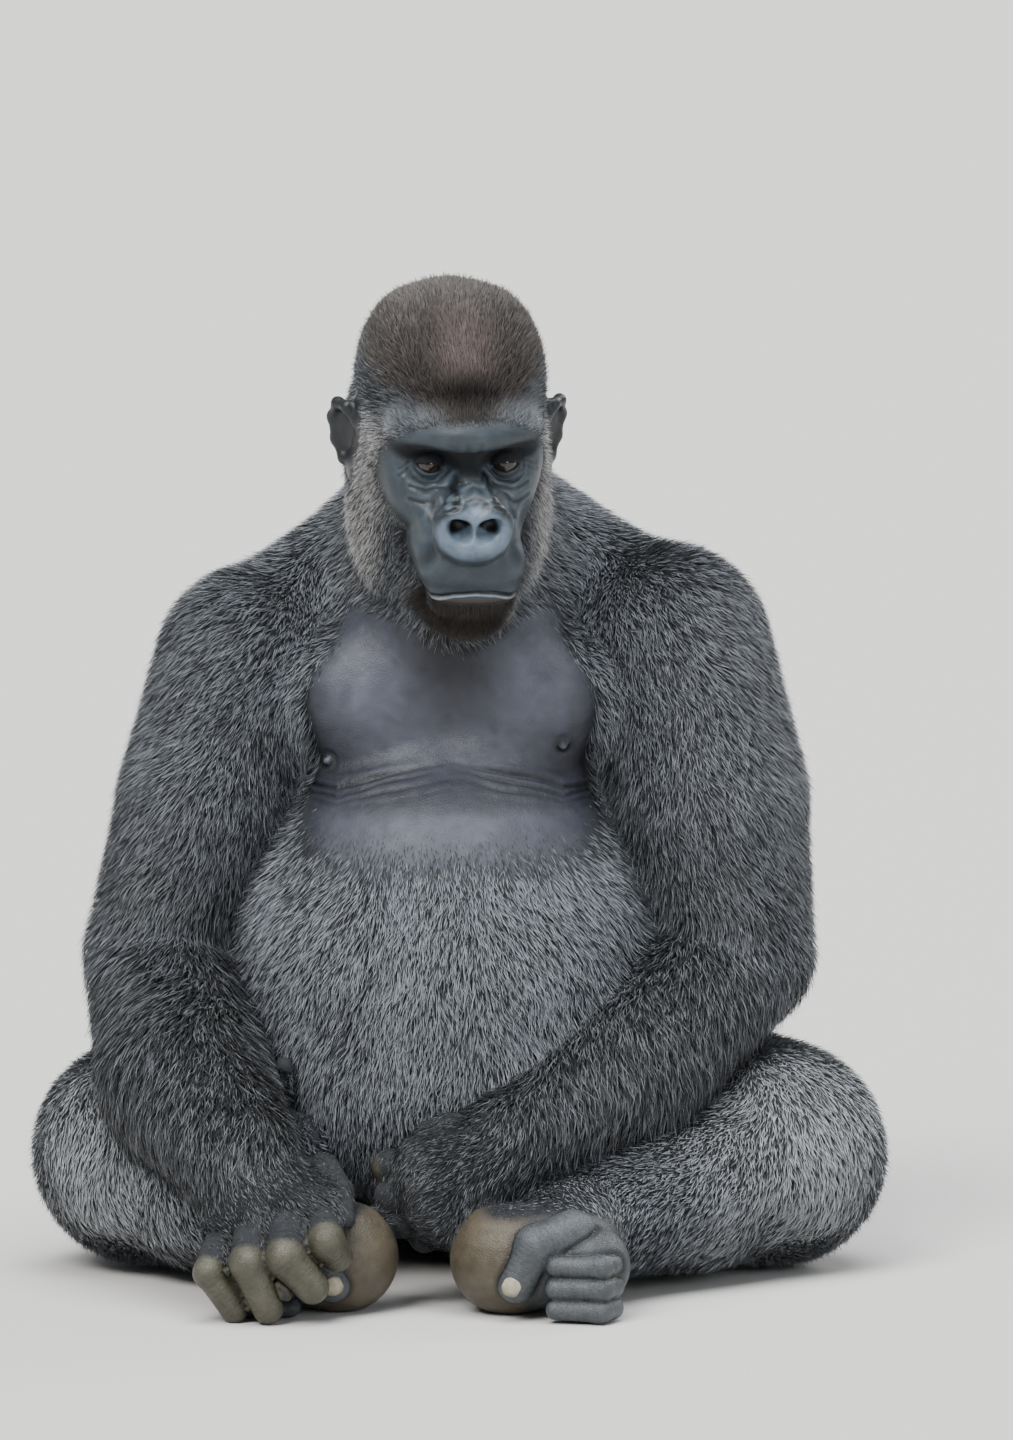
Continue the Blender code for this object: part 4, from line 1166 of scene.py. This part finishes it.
# evens out directions over the mesh
def smoothOver(item, values, normals, rounds):
    ends = np.empty(len(item.data.edges) * 2, np.int32)
    item.data.edges.foreach_get("vertices", ends)
    a, b = ends.reshape(-1, 2).T
    for _ in range(rounds):
        total = values.copy()
        for axis in range(3):
            total[:, axis] += np.bincount(a, values[b, axis], len(values))
            total[:, axis] += np.bincount(b, values[a, axis], len(values))
        total -= normals * np.sum(total * normals, axis=1)[:, None]
        values = unit(total)
    return values


def readTriangles(mesh):
    mesh.calc_loop_triangles()
    corners = np.empty(len(mesh.loop_triangles) * 3, np.int32)
    mesh.loop_triangles.foreach_get("vertices", corners)
    loops = np.empty(len(mesh.loop_triangles) * 3, np.int32)
    mesh.loop_triangles.foreach_get("loops", loops)
    return corners.reshape(-1, 3), loops.reshape(-1, 3)


# an unwrap of part of the skin's own shape: a place from 0 to 1 for each corner of each triangle
def unwrapPart(points, triangles):
    used, corners = np.unique(triangles, return_inverse=True)
    item = newObject("unwrap", points[used], corners.reshape(-1, 3).tolist())
    bpy.context.view_layer.objects.active = item
    item.select_set(True)
    bpy.ops.object.mode_set(mode="EDIT")
    bpy.ops.mesh.select_all(action="SELECT")
    bpy.ops.uv.smart_project(angle_limit=math.radians(66), island_margin=0.004)
    bpy.ops.object.mode_set(mode="OBJECT")
    layer = np.empty(len(item.data.loops) * 2, np.float32)
    item.data.uv_layers[0].data.foreach_get("uv", layer)
    bpy.data.objects.remove(item)
    return layer.reshape(-1, 3, 2)


def meshFromArrays(name, points, faceSizes, corners, uv, colours):
    mesh = bpy.data.meshes.new(name)
    mesh.vertices.add(len(points))
    mesh.vertices.foreach_set("co", points.astype(np.float32).ravel())
    mesh.loops.add(len(corners))
    mesh.loops.foreach_set("vertex_index", corners.astype(np.int32))
    mesh.polygons.add(len(faceSizes))
    starts = np.concatenate([[0], np.cumsum(faceSizes)[:-1]])
    mesh.polygons.foreach_set("loop_start", starts.astype(np.int32))
    mesh.polygons.foreach_set("use_smooth", np.ones(len(faceSizes), bool))
    mesh.update(calc_edges=True)
    layer = mesh.uv_layers.new(name="OFBake")
    layer.data.foreach_set("uv", uv[corners].astype(np.float32).ravel())
    addAttribute(mesh, "tint", "FLOAT_COLOR", withAlpha(colours))
    item = bpy.data.objects.new(name, mesh)
    bpy.context.scene.collection.objects.link(item)
    return item


# hair: a little darker at random along its length, with a soft shine
def coatMaterial():
    material, nodes, links, shader = nodeMaterial("coat", 0.52)
    tint = attributeNode(nodes, "tint")
    place = nodes.new("ShaderNodeTexCoord")
    noise = newNode(nodes, "TexNoise", {"Scale": 260, "Detail": 2})
    shade = newNode(nodes, "MapRange", {"To Min": 0.65, "To Max": 1.35})
    mix = newNode(nodes, "VectorMath", {}, "SCALE")
    links.new(place.outputs["Object"], noise.inputs["Vector"])
    links.new(noise.outputs["Fac"], shade.inputs["Value"])
    links.new(tint.outputs["Color"], mix.inputs[0])
    links.new(shade.outputs["Result"], mix.inputs["Scale"])
    links.new(mix.outputs["Vector"], shader.inputs["Base Color"])
    shader.inputs["Specular IOR Level"].default_value = 0.32
    shader.inputs["Sheen Weight"].default_value = 0.12
    shader.inputs["Sheen Roughness"].default_value = 0.4
    return material


# the distance to the tips of the coat
def coatField(points):
    found = groupFields(points)
    return wholeBody(found, hollowed(found["head"], hollowParts, points), points)


# thin curved blades that lie along the skin, with their tips at the coat's outside
def buildCoat(base):
    rng = np.random.default_rng(7)
    points, normals = getPoints(base), getNormals(base)
    found = groupFields(points)
    weights = shares(found)
    flow = smoothOver(base, hairFlow(points, normals, weights), normals, 6)
    dark, pale, grey = coatColours(points, weights)
    local = inHead(points)
    length = blended(weights, "length")
    width = blended(weights, "width")
    depth = coatDepth(points, found)
    faceNear = weights["head"] * ramp(local[:, 1], -0.02, -0.07)
    faceNear = faceNear * (1 - 0.75 * ramp(local[:, 2], 0.084, 0.108))
    aside = ramp(np.abs(local[:, 0] - 0.003), 0.058, 0.078) * ramp(local[:, 2], 0.045, 0.010)
    length *= 1 - 0.62 * faceNear * (1 - 0.70 * aside)
    width *= 1 - 0.35 * faceNear
    jowl = 0.35 * weights["head"] * ramp(np.abs(local[:, 0]), 0.06, 0.09) * ramp(local[:, 2], 0.0, -0.05)
    length *= 1 + jowl
    haired = ramp(bareness(points, found), 0.96, 0.30)
    for side in sign:
        haired *= 1 - ramp(weights["ear_" + side], 0.2, 0.5)
        haired *= 1 - 0.35 * ramp(weights["digits_" + side], 0.25, 0.6)
        haired *= 1 - ramp(fingerBareness(points, side), 0.1, 0.5)
        haired *= 1 - ramp(weights["toes_" + side], 0.15, 0.5)
    haired *= ramp(points[:, 2], 0.004, 0.012)
    grey *= 0.35 + 0.65 * ramp(haired, 0.25, 0.85)
    shapes = np.stack([length, width, depth, grey, haired], axis=1)
    triangles, _ = readTriangles(base.data)
    ground = {"points": points, "normals": normals, "flow": flow, "shapes": shapes}
    ground.update({"dark": dark, "pale": pale})
    a, b, c = (points[triangles[:, i]] for i in range(3))
    area = np.linalg.norm(np.cross(b - a, c - a), axis=1) / 2
    names = list(weights)
    label = np.stack([weights[name] for name in names])[:, triangles].mean(axis=2).argmax(axis=0)
    middle = (a + b + c) / 3
    material = coatMaterial()
    made = []
    total = 0
    for piece, (members, half, cover) in coatPieces.items():
        chosen = np.isin(label, [index for index, name in enumerate(names) if name in members])
        if abs(half) == 1:
            chosen &= (middle[:, 0] - headAt.x) * half > 0
        elif half:
            chosen &= (middle[:, 1] - 0.03) * half > 0
        rows = np.flatnonzero(chosen)
        here = shapes[triangles[rows]].mean(axis=1)
        need = cover * area[rows] * here[:, 4] / (0.62 * here[:, 0] * here[:, 1])
        count = min(int(need.sum()), coat["most"])
        total += count
        print(piece, count, "tufts of", int(need.sum()))
        made.append(growPiece(piece, count, triangles[rows], need, rng, ground))
        made[-1].data.materials.append(material)
    print("coat", total, "tufts")
    return made


# one piece of the coat: as many tufts as told, spread by need over its triangles
def growPiece(piece, count, triangles, need, rng, ground):
    unwrapped = unwrapPart(ground["points"], triangles)
    ladder = np.cumsum(need) / need.sum()
    pick = np.searchsorted(ladder, (np.arange(count) + rng.random(count)) / count)
    pick = pick.clip(0, len(triangles) - 1)
    u, v = rng.random(count), rng.random(count)
    flip = u + v > 1
    u[flip], v[flip] = 1 - u[flip], 1 - v[flip]
    share = np.stack([1 - u - v, u, v], axis=1)
    corner = triangles[pick]

    def at(key):
        return np.einsum("ij,ijk->ik", share, ground[key][corner])

    root, normal, way = at("points"), unit(at("normals")), at("flow")
    length, width, depth, grey, haired = at("shapes").T
    home = np.einsum("ij,ijk->ik", share, unwrapped[pick])
    length *= rng.uniform(0.70, 1.25, count) * (0.55 + 0.45 * haired)
    width *= rng.uniform(0.75, 1.3, count) * (0.6 + 0.4 * haired)
    swirl = 0.30 * lattice(root, 0.060, 11) + 0.22 * lattice(root, 0.014, 12) + rng.normal(0, 0.16, count)
    across = np.cross(normal, way)
    way = unit(way * np.cos(swirl)[:, None] + across * np.sin(swirl)[:, None])
    way = unit(way - normal * np.sum(way * normal, axis=1)[:, None])
    bend = rng.normal(0, 0.10, count) + 0.16 * lattice(root, 0.030, 13)
    across = np.cross(normal, way)
    reach = (1 - rng.uniform(0.0, 0.55, count)**1.5) * depth * coat["rise"] * (0.35 + 0.65 * haired)
    stray = rng.random(count) < coat["stray"]
    reach = np.where(stray, reach * 1.35 + 0.0010 * haired, reach)
    width = np.where(stray, width * 0.7, width)
    tip = root + way * (length * 0.94)[:, None] + normal * reach[:, None]
    wanted = -depth + reach
    fault = np.clip(coatField(tip) - wanted, -0.014, 0.014)
    roll = rng.normal(0, coat["roll"], count)
    blade = across * np.cos(roll)[:, None] + normal * np.sin(roll)[:, None]
    rings, tones, spots = [], [], []
    isPale = rng.random(count) < grey
    tone = rng.uniform(0.60, 1.25, count)
    darkHere = at("dark") * tone[:, None]
    paleHere = at("pale") * (rng.uniform(0.60, 1.10, count) * (0.55 + 0.45 * haired))[:, None]
    for step, wide in zip(coat["steps"], coat["widths"]):
        lift = reach * (step**0.75) - coat["root"] * (1 - step)
        place = root + way * (length * step * (1 - 0.06 * step))[:, None] + normal * lift[:, None]
        place += across * (bend * length * step**2)[:, None] - normal * (fault * step**2)[:, None]
        edge = blade * (width * 0.5 * wide)[:, None]
        paleShare = np.where(isPale, ramp(np.full(count, step), 0.15, 0.75), 0.05 * step)
        colour = mixed(darkHere * (0.45 + 0.55 * step), paleHere, paleShare)
        spot = home + np.stack([np.full(count, 0.0), np.full(count, (step - 0.5) * 0.003)], axis=1)
        for s in ((-1, 1) if wide else (0,)):
            rings.append(place + edge * s)
            tones.append(colour)
            spots.append(spot + np.array([coat["patch"] * s * (wide or 1), 0]))
    corners = np.array([0, 1, 3, 2, 2, 3, 4])  # a quad and the triangle of its tip
    order = (np.arange(count)[:, None] * 5 + corners[None, :]).ravel()
    stacked = np.stack(rings, axis=1).reshape(-1, 3)
    stacked[:, 2] = np.maximum(stacked[:, 2], coat["lowest"])
    patches = np.clip(np.stack(spots, axis=1).reshape(-1, 2), 0, 1)
    tints = np.stack(tones, axis=1).reshape(-1, 3)
    return meshFromArrays(piece, stacked, np.tile([4, 3], count), order, patches, tints)


base = buildSkin()
print("skin", len(base.data.vertices))
skin = base.copy()
skin.data = base.data.copy()
skin.name = "skin"
bpy.context.scene.collection.objects.link(skin)
workFiner(skin)
carveFace(skin)
ringWrinkles(skin)
chestDetail(skin)
skinAt = getPoints(skin)
skinAt[:, 2] = np.maximum(skinAt[:, 2], -shift.z + 0.0002)
setPoints(skin, skinAt)
triangleCount = len(readTriangles(skin.data)[0])
applyModifier(skin, "DECIMATE", ratio=min(1.0, skinMesh["most"] / triangleCount))
skinAt = getPoints(skin)
skinFound = groupFields(skinAt)
skinShares = shares(skinFound)
addAttribute(skin.data, "tint", "FLOAT_COLOR", withAlpha(skinColours(skinAt, skinFound, skinShares)))
naked = bareness(skinAt, skinFound)
for side in sign:
    naked = np.maximum(naked, fingerBareness(skinAt, side))
    for kind in ("ear_", "toes_"):
        naked = np.maximum(naked, ramp(skinShares[kind + side], 0.3, 0.7))
addAttribute(skin.data, "bare", "FLOAT", naked * (1 - browShade(skinAt)))
leather = sum(skinShares[kind + side] for kind in ("digits_", "toes_", "sole_", "palm_") for side in sign)
addAttribute(skin.data, "rough", "FLOAT", 0.30 + 0.70 * leather + 0.45 * chestBareness(skinAt, skinFound))
skin.data.polygons.foreach_set("use_smooth", np.ones(len(skin.data.polygons), bool))
skin.data.materials.append(skinMaterial())
print("skin worked finer", len(skin.data.vertices))
hair = buildCoat(base)
bpy.data.objects.remove(base)


# dark eyeball, brown iris with a lighter ring, black pupil, all under a wet gloss
def eyeMaterial():
    material, nodes, links, shader = nodeMaterial("eye", 0.06)
    off = attributeNode(nodes, "off")
    stopsNode = nodes.new("ShaderNodeValToRGB")
    stops = [(0.0, (0.001, 0.001, 0.001)), (0.16, (0.001, 0.001, 0.001)), (0.19, (0.020, 0.011, 0.007)),
             (0.34, (0.034, 0.020, 0.012)), (0.44, (0.018, 0.010, 0.006)), (0.50, (0.004, 0.003, 0.002)),
             (0.60, (0.022, 0.017, 0.014)), (1.0, (0.016, 0.013, 0.011))]
    elements = stopsNode.color_ramp.elements
    while len(elements) < len(stops):
        elements.new(0.5)
    for element, (place, colour) in zip(elements, stops):
        element.position = place
        element.color = (*colour, 1)
    links.new(off.outputs["Fac"], stopsNode.inputs["Fac"])
    links.new(stopsNode.outputs["Color"], shader.inputs["Base Color"])
    shader.inputs["Coat Weight"].default_value = 0.35
    shader.inputs["Coat Roughness"].default_value = 0.03
    shader.inputs["Specular IOR Level"].default_value = 0.35
    return material


eyeball = {  # rings in front of and behind the edge at this angle, spokes, height and reach of the cornea
    "front": 29, "back": 21, "edge": 0.7, "spokes": 64, "cornea": 0.07, "corneaReach": 0.58, "inset": 0.0006,
    "look": (-0.05, -math.cos(math.radians(8)), math.sin(math.radians(2))),
}


# an eyeball with a cornea, of rings round the way it looks
def buildEye(side, material):
    spokes = eyeball["spokes"]
    turn = np.array(Vector(eyeball["look"]).normalized().to_track_quat("Z", "Y").to_matrix())
    angles = np.concatenate([np.linspace(0.0, eyeball["edge"], eyeball["front"])[1:],
                             np.linspace(eyeball["edge"], math.pi, eyeball["back"])[1:-1]])
    rows, offs = [np.array([[0, 0, 1.0]])], [0.0]
    for angle in angles:
        around = np.arange(spokes) * math.tau / spokes
        rows.append(np.stack([np.sin(angle) * np.cos(around), np.sin(angle) * np.sin(around),
                              np.full(spokes, np.cos(angle))], axis=1))
        offs += [angle] * spokes
    rows.append(np.array([[0, 0, -1.0]]))
    offs = np.array(offs + [math.pi])
    ways = np.concatenate(rows)
    bulge = 1 + eyeball["cornea"] * np.maximum(1 - (offs / eyeball["corneaReach"])**2, 0)
    points = (ways * bulge[:, None] * (eye["radius"] - eyeball["inset"])) @ turn.T + np.array(eyeAt(side))
    beside = [(k, (k + 1) % spokes) for k in range(spokes)]
    polygons = [[0, 1 + a, 1 + b] for a, b in beside]
    for row in range(len(angles) - 1):
        start = 1 + row * spokes
        polygons += [[start + a, start + spokes + a, start + spokes + b, start + b] for a, b in beside]
    last = 1 + (len(angles) - 1) * spokes
    polygons += [[last + a, len(points) - 1, last + b] for a, b in beside]
    item = newObject("eyeball_" + side, points, polygons)
    item.data.polygons.foreach_set("use_smooth", np.ones(len(item.data.polygons), bool))
    streak = 0.02 * lattice(points, 0.0012, 21)
    addAttribute(item.data, "off", "FLOAT", np.clip(offs + streak * (offs > 0.2), 0, 1))
    item.data.materials.append(material)
    return item


def nailMaterial():
    material, nodes, links, shader = nodeMaterial("nail", 0.38)
    tint = attributeNode(nodes, "tint")
    links.new(tint.outputs["Color"], shader.inputs["Base Color"])
    return material


nail = {  # half its width, and how far and how strongly it curves round the toe
    "half": 0.0095, "length": 0.0185, "thick": 0.0013, "turn": 0.85, "bow": 1.25, "columns": 13, "rows": 13,
}


# a thin curved plate that lies on a toe: out is away from the toe, down towards its tip
def buildNail(name, at, out, down):
    half, length, most, columns, rows = (nail[key] for key in ("half", "length", "turn", "columns", "rows"))
    out, down = Vector(out).normalized(), Vector(down).normalized()
    across = out.cross(down).normalized()
    out = down.cross(across).normalized()
    outer, inner = [], []
    for row in range(rows):
        share = row / (rows - 1)
        wide = half * (1 - 0.22 * (2 * share - 0.9)**4)
        for column in range(columns):
            turn = (column / (columns - 1) * 2 - 1) * most
            bow = (math.cos(turn) - 1) * half * nail["bow"]
            place = at + across * wide * math.sin(turn) / math.sin(most)
            place = place + out * (bow + 0.0010 - 0.0030 * (share - 0.4)**2)
            place = place + down * length * (share - 0.5) * (1 - 0.16 * (turn / most)**2)
            outer.append(place)
            inner.append(place - out * nail["thick"])
    quads = []
    back = rows * columns  # where the inner side's points start
    for row in range(rows - 1):
        for column in range(columns - 1):
            a = row * columns + column
            b, c, d = a + 1, a + columns + 1, a + columns
            quads += [[a, b, c, d], [back + d, back + c, back + b, back + a]]
    edge = list(range(columns)) + [r * columns + columns - 1 for r in range(1, rows)]
    edge += [(rows - 1) * columns + c for c in range(columns - 2, -1, -1)]
    edge += [r * columns for r in range(rows - 2, 0, -1)]
    quads += [[b, a, back + a, back + b] for a, b in zip(edge, edge[1:] + edge[:1])]
    points = np.array([tuple(p) for p in outer + inner])
    item = newObject(name, points, quads)
    item.data.polygons.foreach_set("use_smooth", np.ones(len(item.data.polygons), bool))
    share = np.clip(((points - np.array(at)) @ np.array(down)) / length + 0.5, 0, 1)
    colour = mixed(np.tile(palette["nail"], (len(points), 1)), palette["nailTip"], ramp(share, 0.55, 0.95))
    colour = colour * (1 + 0.25 * lattice(points, 0.004, 41))[:, None]
    addAttribute(item.data, "tint", "FLOAT_COLOR", withAlpha(colour))
    return item


def buildNails():
    nails = []
    material = nailMaterial()
    for side in sign:
        _, toes, _, front = feet[side]
        bones = toes["bigToe"]
        bend, tip = bones[-1]["start"], bones[-1]["end"]
        down = (tip - bend).normalized()
        at = tip + front * (bones[-1]["r"][1] + 0.0010) - down * 0.001
        nails.append(buildNail("nail_" + side, at, front, down))
        nails[-1].data.materials.append(material)
    return nails


eyeGloss = eyeMaterial()
eyes = {side: buildEye(side, eyeGloss) for side in sign}
print("eyes", len(eyes))
nails = buildNails()
print("nails", len(nails))
for item in [skin, *hair, *nails, *eyes.values()]:
    item.data.transform(Matrix.Translation(shift))
    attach(item, "root")
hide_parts(*[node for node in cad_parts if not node.startswith("eye")])
for side, item in eyes.items():
    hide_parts("eye_" + side)


# a long lens from the front, a little above, at the height of the breast
def buildCamera():
    settings = {"elevation": 7.0, "distance": 13.0, "tall": 1.4832, "aside": 0.0633, "height": 0.5462}
    tilt = math.radians(settings["elevation"])
    up = Vector((0, math.sin(tilt), math.cos(tilt)))
    back = Vector((0, -math.cos(tilt), math.sin(tilt)))
    lens = bpy.data.cameras.new("camera")
    lens.sensor_width = 36
    lens.lens = lens.sensor_width * settings["distance"] / settings["tall"]
    lens.clip_end = 100
    camera = bpy.data.objects.new("camera", lens)
    target = shift + Vector((settings["aside"], 0, 0)) + up * settings["height"]
    camera.location = target + back * settings["distance"]
    camera.rotation_mode = "QUATERNION"
    camera.rotation_quaternion = (-back).to_track_quat("-Z", "Y")
    bpy.context.scene.collection.objects.link(camera)
    bpy.context.scene.camera = camera


def buildFloor():
    settings = {"reach": 90.0, "colour": (0.55, 0.54, 0.52, 1), "roughness": 0.9}
    reach = settings["reach"]
    corners = np.array([(-reach, -reach, 0), (reach, -reach, 0), (reach, reach, 0), (-reach, reach, 0)])
    floor = newObject("floor", corners, [(0, 1, 2, 3)])
    material, _, _, shader = nodeMaterial("floor", settings["roughness"])
    shader.inputs["Base Color"].default_value = settings["colour"]
    floor.data.materials.append(material)


def buildLight():
    lamps = {  # where it shines from, how wide it looks in degrees, strength, colour
        "key": ((-2.0, -3.2, 4.1), 30, 3.8, (1.0, 0.99, 0.97)),
        "fill": ((3.4, -4.2, 2.1), 29, 1.0, (0.92, 0.96, 1.0)),
        "top": ((0.4, -0.6, 4.5), 45, 4.0, (0.96, 0.98, 1.0)),
        "rim": ((2.8, 3.0, 2.5), 24, 1.5, (1.0, 1.0, 1.0)),
    }
    for name, (way, wide, strength, colour) in lamps.items():
        lamp = bpy.data.lights.new(name, "SUN")
        lamp.angle = math.radians(wide)
        lamp.energy = strength
        lamp.color = colour
        item = bpy.data.objects.new(name, lamp)
        item.location = way
        item.rotation_mode = "QUATERNION"
        item.rotation_quaternion = (-Vector(way)).to_track_quat("-Z", "Y")
        bpy.context.scene.collection.objects.link(item)
    world = bpy.data.worlds.new("world")
    bpy.context.scene.world = world
    world.use_nodes = True
    backdrop = world.node_tree.nodes["Background"]
    backdrop.inputs["Color"].default_value = (0.90, 0.95, 1.0, 1)
    backdrop.inputs["Strength"].default_value = 0.38


buildCamera()
print("camera in place")
buildFloor()
buildLight()
print("floor and light in place")
